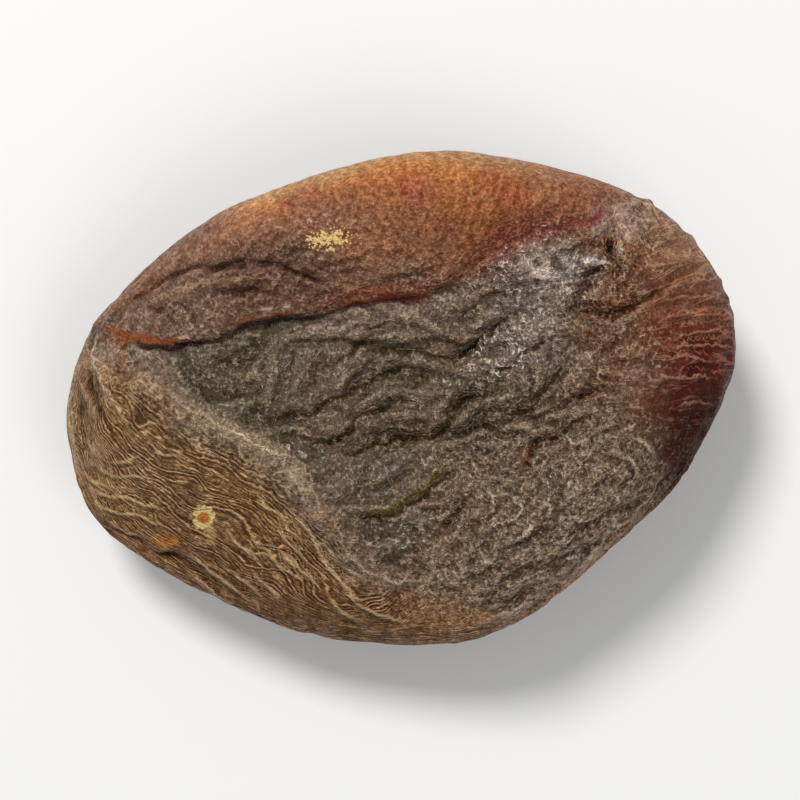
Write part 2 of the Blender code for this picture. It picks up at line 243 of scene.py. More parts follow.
class Plate:
    """A thin plate bent over scattered values."""
    def __init__(self, xy, value, ease=0.6):
        self.p, n = xy, len(xy)
        a = np.zeros((n + 3, n + 3))
        a[:n, :n] = self.kernel(xy) + ease * np.eye(n)
        a[:n, n], a[:n, n + 1:] = 1.0, xy
        a[n:, :n] = a[:n, n:].T
        self.w = np.linalg.solve(a, np.concatenate([value, np.zeros(3)]))

    def kernel(self, xy):
        r2 = ((xy[:, None] - self.p[None]) ** 2).sum(2)
        return 0.5 * r2 * np.log(np.maximum(r2, 1e-12))

    def __call__(self, xy):
        n = len(self.p)
        return self.kernel(xy) @ self.w[:n] + self.w[n] + xy @ self.w[n + 1:]


EDGE = spline(OUTLINE, 8, closed=True)
EDGE_TURN = np.arctan2(EDGE[:, 1], EDGE[:, 0])
EDGE_ORDER = np.argsort(EDGE_TURN)


def reach(turn):
    return np.interp(turn, EDGE_TURN[EDGE_ORDER], np.hypot(EDGE[:, 0], EDGE[:, 1])[EDGE_ORDER], period=2 * math.pi)


def widest(xy):
    return WIDEST_Z + 0.02 * xy[:, 0] + 0.05 * xy[:, 1]


def crown(spots):
    p = np.array(spots, float)
    out = np.hypot(p[:, 0], p[:, 1]) / reach(np.arctan2(p[:, 1], p[:, 0]))
    round_off = np.maximum(1.0 - np.clip(out, 0, 1) ** CROWN_SQUARE, 0.0) ** (1.0 / CROWN_SQUARE)
    return Plate(p[:, :2], (p[:, 2] - widest(p[:, :2])) / np.maximum(round_off, 0.35))


LOW_CROWN, HIGH_CROWN, FOLD_LINE = crown(ENDS + FRONT), crown(ENDS + FLAP), spline(FOLD, 4)


def fruit(ball):
    """Points on a ball of radius 1 to points on the fruit, mm: the body with its long fold."""
    turn = np.arctan2(ball[:, 1], ball[:, 0])
    down = np.arctan2(np.hypot(ball[:, 0], ball[:, 1]), ball[:, 2])
    down -= 0.20 * np.sin(2 * down)
    top = down <= math.pi / 2
    square = np.where(top, CROWN_SQUARE, BELLY_SQUARE)
    q = np.sin(down) ** (2 / square)
    round_off = np.abs(np.cos(down)) ** (2 / square)
    xy = (reach(turn) * q)[:, None] * np.stack([np.cos(turn), np.sin(turn)], 1)
    z0 = widest(xy)
    off, run, way, length = along(xy, FOLD_LINE)
    held = smooth(5.0, 14.0, run) * smooth(length - 8.0, length - 13.0, run) * smooth(0.1, 0.5, round_off)
    soft = smooth(2.0, 7.0, xy[:, 0])
    slit = smooth(-13.2, -11.5, xy[:, 0]) * smooth(-3.5, -5.5, xy[:, 0])          # where the lip stands off the panel
    t = off / (FOLD_WIDTH + 0.9 * soft)
    low, high = LOW_CROWN(xy), HIGH_CROWN(xy)
    z_top = z0 + (low + (high - low) * smooth(-0.25, 0.95 - 0.35 * slit, t)) * round_off
    z_top -= held * (0.26 + 0.20 * slit) * (1.0 - 0.45 * soft) * np.exp(-((t - 0.05) / 0.30) ** 2)
    over = held * (1.0 - 0.95 * soft) * (0.25 + 0.75 * slit)
    lean = np.where(np.abs(t) < 1, -np.sin(math.pi * t) * (1 - t * t), 0.0) * LIP * FOLD_WIDTH * over * top
    lopside = 0.25 * np.cos(2 * turn - 0.8) * q - 0.3 * np.cos(3 * turn + 1.0) * q * q + 0.02 * xy[:, 0] + 0.04 * xy[:, 1]
    z_low = WIDEST_Z + (z0 - WIDEST_Z) * (1.0 - round_off) - (BELLY_DEPTH + lopside) * round_off
    d, s, _, total = along(xy, spline(SUTURE_LINE, 8))
    z_low += SUTURE * np.exp(-(d / 1.1) ** 2) * smooth(0.0, 6.0, s) * smooth(0.0, 0.4, round_off)
    z_low += STEM_DIMPLE * np.exp(-((xy - np.array(STEM_END)) ** 2).sum(1) / 2.0 ** 2)
    xy = xy + np.stack([-way[:, 1], way[:, 0]], 1) * lean[:, None]
    return np.column_stack([xy, np.maximum(np.where(top, z_top, z_low), 0.0)])


# ======================================================= a smooth seeded noise
_lattice = np.random.default_rng(SEED).random((8, 24, 24, 24)) * 2 - 1


def noise(p, size, layer=0, octaves=1):
    """Smooth noise over points p in mm, with features of the given size, about -1 to 1."""
    total, weight = np.zeros(len(p)), 0.0
    for o in range(octaves):
        x = p / size * 2 ** o + 7.3 * o + 3.1 * layer
        i = np.floor(x).astype(int)
        f = x - i
        f = f * f * f * (f * (f * 6 - 15) + 10)
        g = _lattice[(layer + o) % 8]
        v = 0.0
        for a in (0, 1):
            for b in (0, 1):
                for c in (0, 1):
                    w = (f[:, 0] if a else 1 - f[:, 0]) * (f[:, 1] if b else 1 - f[:, 1]) * (f[:, 2] if c else 1 - f[:, 2])
                    v = v + w * g[(i[:, 0] + a) % 24, (i[:, 1] + b) % 24, (i[:, 2] + c) % 24]
        total += v * 0.5 ** o
        weight += 0.5 ** o
    return total / weight * 1.6


# ================================================================= the blank
def blank(level):
    bm = bmesh.new()
    bmesh.ops.create_icosphere(bm, subdivisions=level, radius=1.0)
    me = bpy.data.meshes.new("apricot_fruit")
    bm.to_mesh(me)
    bm.free()
    return me


def finer(me, ball, cuts):
    """Cuts every edge of the ball and returns the new points on it."""
    me.vertices.foreach_set("co", ball.astype(np.float32).ravel())
    bm = bmesh.new()
    bm.from_mesh(me)
    bmesh.ops.subdivide_edges(bm, edges=bm.edges, cuts=cuts, use_grid_fill=True)
    bm.to_mesh(me)
    bm.free()
    ball = read_points(me)
    return ball / np.linalg.norm(ball, axis=1)[:, None]


def read_points(me):
    a = np.empty(len(me.vertices) * 3, np.float32)
    me.vertices.foreach_get("co", a)
    return a.reshape(-1, 3).astype(float)


def read_faces(me):
    a = np.empty(len(me.polygons) * 3, np.int32)
    me.polygons.foreach_get("vertices", a)
    return a.reshape(-1, 3)


class Net:
    """Neighbours of every point of a closed mesh, as rows of one list."""
    def __init__(self, tri, n):
        i = np.concatenate([tri[:, 0], tri[:, 1], tri[:, 2]])
        j = np.concatenate([tri[:, 1], tri[:, 2], tri[:, 0]])
        key = np.unique(np.concatenate([i, j]).astype(np.int64) * n + np.concatenate([j, i]))
        self.row, self.col = (key // n).astype(np.int64), (key % n).astype(np.int64)
        self.start = np.searchsorted(self.row, np.arange(n))
        self.key, self.n = key, n

    def sums(self, values):
        return np.add.reduceat(values, self.start)

    def place(self, i, j, values):
        """Adds up values given for directed edges i to j."""
        return np.bincount(np.searchsorted(self.key, i.astype(np.int64) * self.n + j), values, len(self.key))


def even_out(ball, tri, rounds, dense):
    """Slides the points over the ball until the fruit's edges are as long as dense asks."""
    net = Net(tri, len(ball))
    for _ in range(rounds):
        p = fruit(ball)
        want = dense(ball, p)
        long = np.sqrt(((p[net.row] - p[net.col]) ** 2).sum(1)) / (0.5 * (want[net.row] + want[net.col]))
        w = long ** 1.6
        total = net.sums(w)
        goal = np.stack([net.sums(w * ball[net.col, k]) for k in range(3)], 1) / total[:, None]
        ball = ball + 0.7 * (goal - ball)
        ball /= np.linalg.norm(ball, axis=1)[:, None]
    return ball


def dense(ball, p):
    """The edge length wanted, as a factor: fine on the crown, coarser on the belly."""
    return 1.0 + 0.75 * smooth(0.05, -0.5, ball[:, 2])


me = blank(5)
ball = even_out(read_points(me), read_faces(me), 70, dense)
ball = finer(me, ball, 1)
ball = even_out(ball, read_faces(me), 16, dense)
ball = finer(me, ball, 2)
tri = read_faces(me)
NET = Net(tri, len(ball))
# the cuts leave the new points bunched in steps: even them out once more, lightly
for _ in range(6):
    goal = np.stack([NET.sums(ball[NET.col, k]) for k in range(3)], 1)
    ball = ball + 0.5 * (goal / np.linalg.norm(goal, axis=1)[:, None] - ball)
    ball /= np.linalg.norm(ball, axis=1)[:, None]
N = len(ball)
print("blank", N, "points", round(time.time() - CLOCK, 1), "s")


def normals(p):
    a, b, c = p[tri[:, 0]], p[tri[:, 1]], p[tri[:, 2]]
    n = np.cross(b - a, c - a)
    out = np.stack([np.bincount(tri.ravel(), np.repeat(n[:, k], 3), N) for k in range(3)], 1)
    return out / np.maximum(np.linalg.norm(out, axis=1), 1e-12)[:, None]


# ================================================================== the body
P = fruit(ball)
low, high = P.min(0), P.max(0)
FIT = (CAD_HIGH - CAD_LOW) / MM / (high - low)
SHIFT = (low + high) / 2 * [1, 1, 0] + [0, 0, low[2]]
TOP = ball[:, 2] > 0.0
body = P.copy()
body_normal = normals(body)
xy = body[:, :2].copy()
turn = np.arctan2(xy[:, 1], xy[:, 0])
rho = np.hypot(xy[:, 0], xy[:, 1]) / reach(turn)            # 0 in the middle, 1 on the outline
off, run, _, fold_length = along(xy, FOLD_LINE)
upper = smooth(-0.05, 0.12, ball[:, 2])                     # 1 on the crown, 0 on the belly

# ---- lines: the crown's creases and crests, a little unsteady, as in dried skin
shaky = xy + 0.16 * np.stack([noise(body, 1.3, 1), noise(body, 1.3, 2)], 1) + 0.10 * np.stack([noise(body, 0.55, 3), noise(body, 0.55, 4)], 1)
lines = np.zeros(N)          # mm, along the normal
cut = np.zeros(N)            # how deep in a crease a point is, 0 to 1
crest = np.zeros(N)          # how far up a crest, 0 to 1
pale_and_glint_off, pale_and_glint_by, pale_and_glint_much = np.full(N, 9.0), np.full(N, 9.0), np.zeros(N)      # signed distance to the nearest pale line: the skin's pale crests, ribs and strands, with painted glints on the curls and a painted highlight along the lower right edge
shade_line_off, shade_line_by, shade_line_much = np.full(N, 9.0), np.full(N, 9.0), np.zeros(N)      # and to the nearest line of painted shade: along the creases, and beside raised strands, curls and the olive lip


def nearer(d, much, by, line_off, line_much):
    take = np.abs(d) < by
    by[take], line_off[take], line_much[take] = np.abs(d)[take], d[take], much[take]


# creases get a line of painted shade; crests get a pale line, in places a painted highlight
for height, half, points in LINES:
    d, s, _, total = along(shaky, spline(points, 4), within=5 * half)
    swing = 1.0 + 0.3 * noise(np.column_stack([s, np.full(N, height * 37.0), np.zeros(N)]), 1.1, 5)
    ends = smooth(-0.5, 1.3, s) * smooth(total + 0.5, total - 1.3, s) * (np.abs(d) < 90) * upper
    t = np.abs(d) / half
    if height < 0:
        profile = height * (0.60 * np.exp(-(t / 0.60) ** 2) + 0.55 * np.exp(-(t / 1.9) ** 2)) - 0.30 * height * np.exp(-((t - 2.1) / 0.8) ** 2)
        cut = np.maximum(cut, np.exp(-(t / 0.8) ** 2) * ends * min(1.0, -height / 0.40))
        nearer(d, ends * min(1.0, 0.38 - height / 0.50) * np.clip(swing, 0.3, 1.3), shade_line_by, shade_line_off, shade_line_much)
    else:
        profile = np.exp(-(t / 0.8) ** 2) * height
        crest = np.maximum(crest, np.exp(-(t / 0.8) ** 2) * ends * min(1.0, height / 0.25))
        nearer(d, ends * min(1.0, height / 0.24) * np.clip(swing, 0.3, 1.3), pale_and_glint_by, pale_and_glint_off, pale_and_glint_much)
    lines += profile * ends * swing
for a, b, height in RIBS:
    line = spline([a, ((a[0] + b[0]) / 2, (a[1] + b[1]) / 2 + 0.12), b], 5)
    d, s, _, total = along(0.5 * (shaky + xy), line, within=1.6)
    ends = smooth(-0.6, 0.8, s) * smooth(total + 0.9, total - 0.3, s) * (np.abs(d) < 90) * upper
    lines += (0.45 * height * np.exp(-(d / 0.20) ** 2) - 0.30 * height * np.exp(-((np.abs(d) - 0.52) / 0.26) ** 2)) * ends
    nearer(d, 0.52 * ends, pale_and_glint_by, pale_and_glint_off, pale_and_glint_much)
# each strand: a low ridge with a pale line along it and painted shadow on one side
for points in STRANDS:
    d, s, _, total = along(0.4 * shaky + 0.6 * xy, spline(points, 5), within=1.6)
    ends = smooth(-0.2, 1.4, s) * smooth(total + 0.2, total - 1.4, s) * (np.abs(d) < 90) * upper
    lines += (0.075 * np.exp(-(d / 0.20) ** 2) - 0.060 * np.exp(-((np.abs(d) - 0.42) / 0.20) ** 2)) * ends
    nearer(d, 1.0 * ends, pale_and_glint_by, pale_and_glint_off, pale_and_glint_much)
    nearer(d + 0.34, 0.42 * ends, shade_line_by, shade_line_off, shade_line_much)
# each curl: a low ridge with a painted glint along it and painted shadow on one side
for points in CURLS:
    d, s, _, total = along(0.6 * shaky + 0.4 * xy, spline(points, 5), within=1.4)
    ends = smooth(-0.3, 0.5, s) * smooth(total + 0.3, total - 0.5, s) * (np.abs(d) < 90) * upper
    lines += (0.07 * np.exp(-(d / 0.18) ** 2) - 0.05 * np.exp(-((np.abs(d) - 0.38) / 0.2) ** 2)) * ends
    nearer(d, 0.85 * ends, pale_and_glint_by, pale_and_glint_off, pale_and_glint_much)
    nearer(d + 0.32, 0.40 * ends, shade_line_by, shade_line_off, shade_line_much)
height, half, points = OLIVE
d, s, _, total = along(shaky * 0.5 + xy * 0.5, spline(points, 4), within=3.0)
inside = smooth(-0.4, 1.4, s) * smooth(total + 0.4, total - 1.4, s) * (np.abs(d) < 90) * upper
lines += height * (smooth(-0.6, 0.5, d / half) * np.exp(-np.maximum(d, 0) / 0.9) - 0.45 * np.exp(-((d + 0.45) / 0.4) ** 2)) * inside
# painted shadow below the olive lip
nearer(d + 0.36, 1.0 * inside, shade_line_by, shade_line_off, shade_line_much)
olive = np.exp(-((d - 0.04) / 0.26) ** 2) * inside * smooth(0.6, 2.4, s)
pale_and_glint_much *= smooth(0.75, 0.45, pale_and_glint_by)
shade_line_much *= smooth(0.75, 0.45, shade_line_by)
in_fold = np.exp(-((off + 0.20) / 0.42) ** 2) * smooth(9.5, 14.5, run) * smooth(3.4, 1.6, xy[:, 0]) * upper
calm = 1.0 - 0.80 * np.exp(-(off / 0.8) ** 2) * smooth(8.0, 13.0, run) * smooth(4.0, 2.0, xy[:, 0]) * upper

# ============================================================= zones, 0 to 1
x, y, z = body.T
upper = smooth(-0.36, 0.10, ball[:, 2] + 0.10 * noise(body, 2.5, 3, 2))       # the crown's skin runs down over the side
AMBER_EDGE = spline([(-24, 2.5), (-19.5, 4.8), (-16.4, 6.6), (-12.4, 8.6), (-8.6, 9.2), (-4.0, 8.9), (0.0, 8.3), (2.8, 7.2), (5.2, 8.3),
                     (8.0, 9.5), (11.0, 10.4), (13.6, 11.6), (16.0, 13.8), (18.0, 18.0)], 5)
amber_off = along(xy, AMBER_EDGE)[0]
amber = smooth(-1.2, 1.4, amber_off + 0.6 * noise(body, 2.2, 6, 2)) * upper
CREST_EDGE = spline([(-24, 5.0), (-19.0, 2.6), (-15.7, 1.5), (-12.9, -0.2), (-10.2, -1.6), (-7.8, -2.9), (-6.2, -4.2), (-4.9, -5.7),
                     (-3.6, -7.4), (-2.2, -9.2), (-0.4, -10.8), (2.4, -12.0), (6.0, -12.8), (9.0, -16.0)], 5)
crest_off, _, crest_way, _ = along(xy, CREST_EDGE)
flank = smooth(0.9, -0.9, crest_off + 0.35 * noise(body, 1.8, 2, 2)) * upper      # left and lower side
rim = smooth(11.6, 16.2, x + 1.0 * noise(body, 1.9, 1, 2)) * smooth(-4.5, 0.5, y) * smooth(12.5, 10.0, y) * upper      # ribbed right end
PANEL_EDGE = spline([(-15.0, 2.2), (-12.0, 0.2), (-9.4, -1.4), (-6.4, -3.2), (-4.8, -5.0), (-4.0, -7.2), (-2.4, -8.8), (0.2, -9.4), (2.0, -8.2),
                     (1.9, -6.2), (2.6, -4.0), (4.0, -2.6), (6.8, -1.6), (9.0, 0.8), (10.0, 3.0), (9.6, 4.6), (11.0, 6.6), (12.2, 8.6), (11.2, 10.4),
                     (8.0, 9.9), (5.0, 8.3), (2.2, 6.3), (-2.3, 5.6), (-6.6, 5.0), (-10.4, 3.8), (-13.2, 3.2), (-15.0, 2.2)], 3)
panel_off = along(xy, PANEL_EDGE, within=4.0)[0]
panel_in = np.where(np.abs(panel_off) > 90, -9.0, panel_off)
panel = smooth(-0.9, 0.9, panel_in + 0.4 * noise(body, 1.4, 3, 2)) * upper
lobe = np.clip(upper - amber - flank - rim - panel, 0, 1) * smooth(-1.0, 2.0, x)
band = upper * np.clip(1 - amber - flank, 0, 1) * smooth(-0.3, 0.8, off) * smooth(9.0, 4.0, x)        # brown band over the fold
belly = 1.0 - upper
print("zones", round(time.time() - CLOCK, 1), "s")

# ---- threads: the flank's long fine wrinkles lie along the whole steps of this
out_top = rho * (1 - smooth(4.0, -4.0, x) * (1.0 - smooth(0.84, 1.0, rho))) * 16.0 + smooth(4.0, -4.0, x) * (1.0 - smooth(0.84, 1.0, rho)) * (5.0 - crest_off)
outward = np.where(TOP, out_top, 32.0 - 16.0 * rho) + 0.85 * (12.0 - z)
thread = 1.42 * outward + 1.3 * noise(body, 3.6, 5, 2) + 0.55 * noise(body, 1.5, 1)

# ============================================================== the wrinkles
EDGES_I = np.concatenate([tri[:, 0], tri[:, 1], tri[:, 2], tri[:, 1], tri[:, 2], tri[:, 0]])
EDGES_J = np.concatenate([tri[:, 1], tri[:, 2], tri[:, 0], tri[:, 0], tri[:, 1], tri[:, 2]])


def flow(p, pull):
    """Rates at which a value spreads along each edge of the surface p, mm. pull is a list of (direction, strength)
    over the points: the value spreads faster that way."""
    a, b, c = p[tri[:, 0]], p[tri[:, 1]], p[tri[:, 2]]
    n = np.cross(b - a, c - a)
    double = np.linalg.norm(n, axis=1)
    n /= np.maximum(double, 1e-12)[:, None]
    grad = [np.cross(n, e) / np.maximum(double, 1e-9)[:, None] for e in (c - b, a - c, b - a)]
    area = double / 2
    w = []
    ways = []
    for way, strength in pull:
        t = way[tri].mean(1)
        t -= (t * n).sum(1)[:, None] * n
        t /= np.maximum(np.linalg.norm(t, axis=1), 1e-9)[:, None]
        ways.append((t, strength[tri].mean(1)))
    for i, j in ((0, 1), (1, 2), (2, 0)):
        k = (grad[i] * grad[j]).sum(1)
        for t, strength in ways:
            k = k + strength * (grad[i] * t).sum(1) * (grad[j] * t).sum(1)
        w.append(-area * k)
    w = np.concatenate(w * 2)
    w = np.maximum(NET.place(EDGES_I, EDGES_J, w), 0.0)
    share = np.bincount(tri.ravel(), np.repeat(area / 3, 3), N)
    return w / share[NET.row]


class Spread:
    """Blurs values over the surface by a given squared distance."""
    def __init__(self, rate, pace, reach2):
        rate = rate * 0.5 * (pace[NET.row] + pace[NET.col])
        total = NET.sums(rate)
        self.steps = max(2, int(math.ceil(reach2 * np.percentile(total, 97) / 0.8)))
        step = reach2 / self.steps
        over = np.maximum(step * total / 0.85, 1.0)
        self.w = (rate * step / over[NET.row]).astype(np.float32)
        self.keep = (1.0 - NET.sums(self.w)).astype(np.float32)

    def __call__(self, u, steps=None):
        for _ in range(steps or self.steps):
            u = self.keep * u + np.add.reduceat(self.w * u[NET.col], NET.start)
        return u


def wrinkles(p, size, pull, rounds, seed, bias=0.0, gain=1.6):
    """Grows a pattern of wrinkles of the given spacing, mm, over the points. More rounds make it more orderly."""
    base = float(size.mean())
    pace = (size / base) ** 2
    k2 = (2 * math.pi / base) ** 2
    t1 = 0.549 / k2
    near = Spread(flow(p, pull), pace, t1)
    far = Spread(flow(p, []), pace, 3 * t1)
    u = np.random.default_rng(seed).standard_normal(N).astype(np.float32)
    for k in range(rounds + 1):
        d = near(u) - far(u)
        d = d - d.mean()
        level = np.sqrt(np.maximum(far(d * d, far.steps * 2), 1e-12)) if k == 0 else float(d.std())
        u = np.tanh(gain * d / np.maximum(level, 1e-6) + bias).astype(np.float32)
    u = near(u, max(1, near.steps // 2))
    return u / np.percentile(np.abs(u), 90)


edge_turn = 0.02
r_here, r_next = reach(turn), reach(turn + edge_turn)
round_way = np.column_stack([r_next * np.cos(turn + edge_turn) - r_here * np.cos(turn), r_next * np.sin(turn + edge_turn) - r_here * np.sin(turn), np.zeros(N)])
round_way /= np.linalg.norm(round_way, axis=1)[:, None]


def swung(way, angle):
    """Directions turned in the surface by an angle."""
    way = way - (way * body_normal).sum(1)[:, None] * body_normal
    way /= np.maximum(np.linalg.norm(way, axis=1), 1e-6)[:, None]
    return way * np.cos(angle)[:, None] + np.cross(body_normal, way) * np.sin(angle)[:, None]


stagger = 0.55 * noise(body, 3.0, 4, 2) + 0.35 * noise(body, 1.2, 5)
round_swung = swung(round_way, 0.6 * stagger)
out_swung = swung(np.cross(body_normal, round_way), 0.5 * stagger)
ene_swung = swung(np.tile([math.cos(0.45), math.sin(0.45), 0.0], (N, 1)), 1.6 * stagger)
stem_way = np.column_stack([STEM_END[0] - x, STEM_END[1] - y, np.zeros(N)])
stem_swung = swung(stem_way, 0.5 * stagger)
side_round = smooth(0.35, 0.80, rho)
by_crest = smooth(4.0, -4.0, x) * (1.0 - smooth(0.84, 1.0, rho))
flank_way = round_way * (1 - by_crest)[:, None] + np.column_stack([crest_way, np.zeros(N)]) * by_crest[:, None]
flank_swung = swung(flank_way, 0.45 * stagger)
pull = [(round_swung, 0.5 * lobe * smooth(0.5, 0.9, rho) + 1.5 * band), (flank_swung, 20.0 * flank),
        (out_swung, 9.0 * rim + 0.8 * amber),
        (ene_swung, 2.2 * panel + 0.6 * lobe * (1 - smooth(0.5, 0.9, rho))),
        (stem_swung, 4.0 * belly)]
rest = np.clip(1 - flank - rim - panel - lobe - amber - belly, 0, 1)
weights = flank + rim + panel + lobe + amber + belly + rest


def by_zone(on_flank, on_rim, on_panel, on_lobe, on_amber, on_belly, on_rest):
    return (on_flank * flank + on_rim * rim + on_panel * panel + on_lobe * lobe + on_amber * amber + on_belly * belly + on_rest * rest) / weights


coarse_size = by_zone(1.30, 0.95, 1.75, 1.45, 2.30, 2.20, 1.50) * (1.0 + 0.30 * noise(body, 3.6, 7))
coarse = wrinkles(body, coarse_size, pull, 3, SEED + 1, bias=-0.5 * cut + 0.3 * crest)
print("coarse wrinkles", round(time.time() - CLOCK, 1), "s")
shell = body + body_normal * lines[:, None]
fine_size = by_zone(0.62, 0.75, 0.74, 0.66, 0.70, 0.84, 0.70) * (1.0 + 0.18 * noise(body, 2.5, 6))
fine = wrinkles(shell, fine_size, pull, 4, SEED + 2, bias=-0.4 * cut + 0.3 * crest + 0.15 * coarse)
print("fine wrinkles", round(time.time() - CLOCK, 1), "s")

patchy = np.clip(1.0 + 0.8 * noise(body, 2.6, 5, 2), 0.2, 2.0)
streaky = np.clip(flank * smooth(0.1, -1.9, crest_off + 0.5 * noise(body, 1.6, 2, 3)) + 0.30 * lobe * smooth(0.6, 0.9, rho) + 0.45 * belly * smooth(0.75, 0.97, rho), 0, 1)
coarse_high = by_zone(0.050, 0.070, 0.140, 0.095, 0.016, 0.100, 0.060)
fine_high = by_zone(0.046, 0.022, 0.020, 0.030, 0.008, 0.045, 0.020)
coarse_n, fine_n = np.clip(coarse, -1.5, 1.5), np.clip(fine, -1.4, 1.4)
# broad backs and narrow valleys
cushion = 1.0 - 1.35 * np.clip((1.2 - coarse_n) / 2.4, 0, 1.2) ** 1.8
step1 = shell + body_normal * (coarse_high * np.clip(1.6 - 0.5 * patchy, 0.4, 1.5) * calm * (cushion - 0.4) * 1.5)[:, None]
n1 = normals(step1)
P = step1 + n1 * ((fine_high * patchy * calm * fine_n) * (1.0 - 0.45 * streaky) - 0.020 * streaky * np.cos(2 * math.pi * thread))[:, None]
P[:, 2] = np.where(ball[:, 2] < 0, np.maximum(P[:, 2], 0.0), P[:, 2])
P = (P - SHIFT) * FIT

# ============================================================ colour by zone
DAYLIGHT = 1.15              # how much brighter a level surface is lit than a colour chart


def srgb(r, g, b, lit=DAYLIGHT):
    c = np.array([r, g, b], float) / 255
    return np.where(c <= 0.04045, c / 12.92, ((c + 0.055) / 1.055) ** 2.4) / lit


def blend(colour, other, amount):
    return colour + (np.asarray(other) - colour) * np.clip(amount, 0, 1)[:, None]


drift = noise(body, 3.0, 1, 3)
drift2 = noise(body, 1.6, 2, 3)
colour = np.tile(srgb(104, 80, 60), (N, 1))                                     # leathery brown
colour = blend(colour, srgb(142, 120, 104), smooth(-10.5, -12.5, x) * smooth(-18.5, -16.5, x) * smooth(-3.0, 0.0, y) * smooth(4.0, 3.0, y))
colour = blend(colour, srgb(111, 89, 70), lobe)
colour = blend(colour, srgb(100, 68, 44), lobe * smooth(8.0, 13.0, x + drift2) * smooth(-3.0, 2.0, y))
colour = blend(colour, srgb(124, 80, 42), lobe * smooth(0.92, 0.97, rho + 0.01 * drift2) * smooth(2.0, -3.0, y) * 0.85)
colour = blend(colour, srgb(96, 79, 61), panel)
colour = blend(colour, srgb(88, 75, 55), panel * smooth(-0.1, 0.7, drift))
colour = blend(colour, srgb(79, 66, 47), panel * smooth(-5.0, -8.5, x) * 0.85)
colour = blend(colour, srgb(81, 72, 57), panel * smooth(3.0, 1.2, np.hypot(x + 1.0, y + 4.6)) * 0.9)
colour = blend(colour, srgb(106, 83, 70), panel * smooth(0.05, 0.6, noise(body, 2.4, 4, 2)) * 0.42)
colour = blend(colour, srgb(94, 86, 66), panel * smooth(0.10, 0.6, noise(body, 2.0, 5, 2)) * 0.4)
colour = blend(colour, srgb(116, 99, 88), panel * smooth(3.0, 7.0, x) * smooth(0.5, 3.0, y))
# painted light: lighter on the panel just below the fold's left part
colour = blend(colour, srgb(118, 97, 84), panel * smooth(-3.0, -0.8, off) * smooth(0.3, -0.1, off) * smooth(-9.0, -3.0, x) * 0.8)
colour = blend(colour, srgb(128, 95, 60), flank)
colour = blend(colour, srgb(136, 100, 56), flank * smooth(-0.8, 0.4, drift) * smooth(-1.0, -3.0, crest_off))
colour = blend(colour, srgb(120, 98, 78), flank * smooth(-2.2, -0.8, crest_off) * smooth(-14.5, -12.5, x))
colour = blend(colour, srgb(158, 138, 114), smooth(0.9, 0.1, np.abs(crest_off)) * smooth(-13.5, -11.0, x) * smooth(-4.0, -6.0, x) * upper * 0.8)
colour = blend(colour, srgb(148, 119, 90), flank * smooth(-16.6, -17.8, x) * smooth(-5.0, -3.0, y) * 0.8)
colour = blend(colour, srgb(124, 85, 46), flank * smooth(0.66, 0.84, rho) * smooth(-5.5, -8.0, y) * 0.95)
colour = blend(colour, srgb(97, 66, 47), band)
colour = blend(colour, srgb(110, 82, 66), band * smooth(-8.0, -13.0, x))
colour = blend(colour, srgb(145, 86, 43), amber)
colour = blend(colour, srgb(142, 100, 74), amber * smooth(-3.0, -13.0, x))
colour = blend(colour, srgb(164, 98, 47), amber * smooth(2.5, 5.5, amber_off) * smooth(-14.0, -6.0, x + drift2))
# painted glow along the top rim, where light shines through the flap
colour = blend(colour, srgb(188, 122, 54), amber * smooth(0.84, 0.95, rho + 0.02 * drift) * smooth(-13.0, -5.5, x) * smooth(11.0, 0.0, x) * smooth(5.5, 9.0, z + 1.2 * drift2) * np.clip(0.85 + 0.4 * drift, 0.4, 1.0) * 0.85)
colour = blend(colour, srgb(186, 138, 84), amber * smooth(0.88, 0.96, rho) * smooth(-11.0, -6.0, x) * smooth(-0.5, -5.0, x) * smooth(6.2, 9.0, z + drift2) * 0.8)
colour = blend(colour, srgb(158, 114, 68), amber * smooth(0.88, 0.96, rho) * smooth(0.5, 4.5, x) * smooth(11.0, 6.0, x) * smooth(6.0, 8.5, z + drift2) * 0.7)
colour = blend(colour, srgb(146, 99, 70), amber * smooth(2.6, 1.0, np.hypot(x - 9.2, y - 11.8)) * 0.6)
colour = blend(colour, srgb(146, 62, 38), amber * smooth(0.0, 0.7, noise(body, 2.2, 6, 2)) * smooth(0.6, 1.8, amber_off) * smooth(6.0, 3.5, amber_off) * 0.55)
colour = blend(colour, srgb(112, 78, 58), amber * smooth(-7.0, -14.5, x + drift2) * smooth(0.82, 0.96, rho))
colour = blend(colour, srgb(126, 83, 58), amber * smooth(3.8, 0.9, amber_off + 0.9 * drift2) * smooth(-8.0, -5.0, x) * smooth(5.5, 2.0, x) * 0.85)
colour = blend(colour, srgb(140, 82, 45), amber * smooth(9.3, 5.2, z + 1.1 * drift2) * 0.85)
# painted light: a brighter golden band along the top edge
colour = blend(colour, srgb(182, 134, 70), amber * smooth(0.92, 0.98, rho) * smooth(-11.0, -4.0, x + drift) * smooth(9.5, 0.0, x + drift) * smooth(7.0, 9.6, z + 0.8 * drift2) * 0.75)
colour = blend(colour, srgb(128, 60, 44), amber * smooth(1.9, 0.2, off) * smooth(2.5, 6.0, x) * smooth(12.8, 11.4, x))
colour = blend(colour, srgb(120, 58, 34), band * smooth(1.5, 0.1, off) * smooth(-7.0, -3.5, x) * smooth(4.0, 2.0, x) * 0.8)
redder = smooth(9.6, 15.6, x + 1.2 * drift2 + 0.30 * (y - 5.0)) * upper * smooth(13.5, 9.5, y) * smooth(-3.6, -0.6, y + 0.5 * drift)
colour = blend(colour, srgb(106, 56, 28), redder * 0.95)
colour = blend(colour, srgb(132, 90, 58), redder * smooth(6.0, 9.0, y))
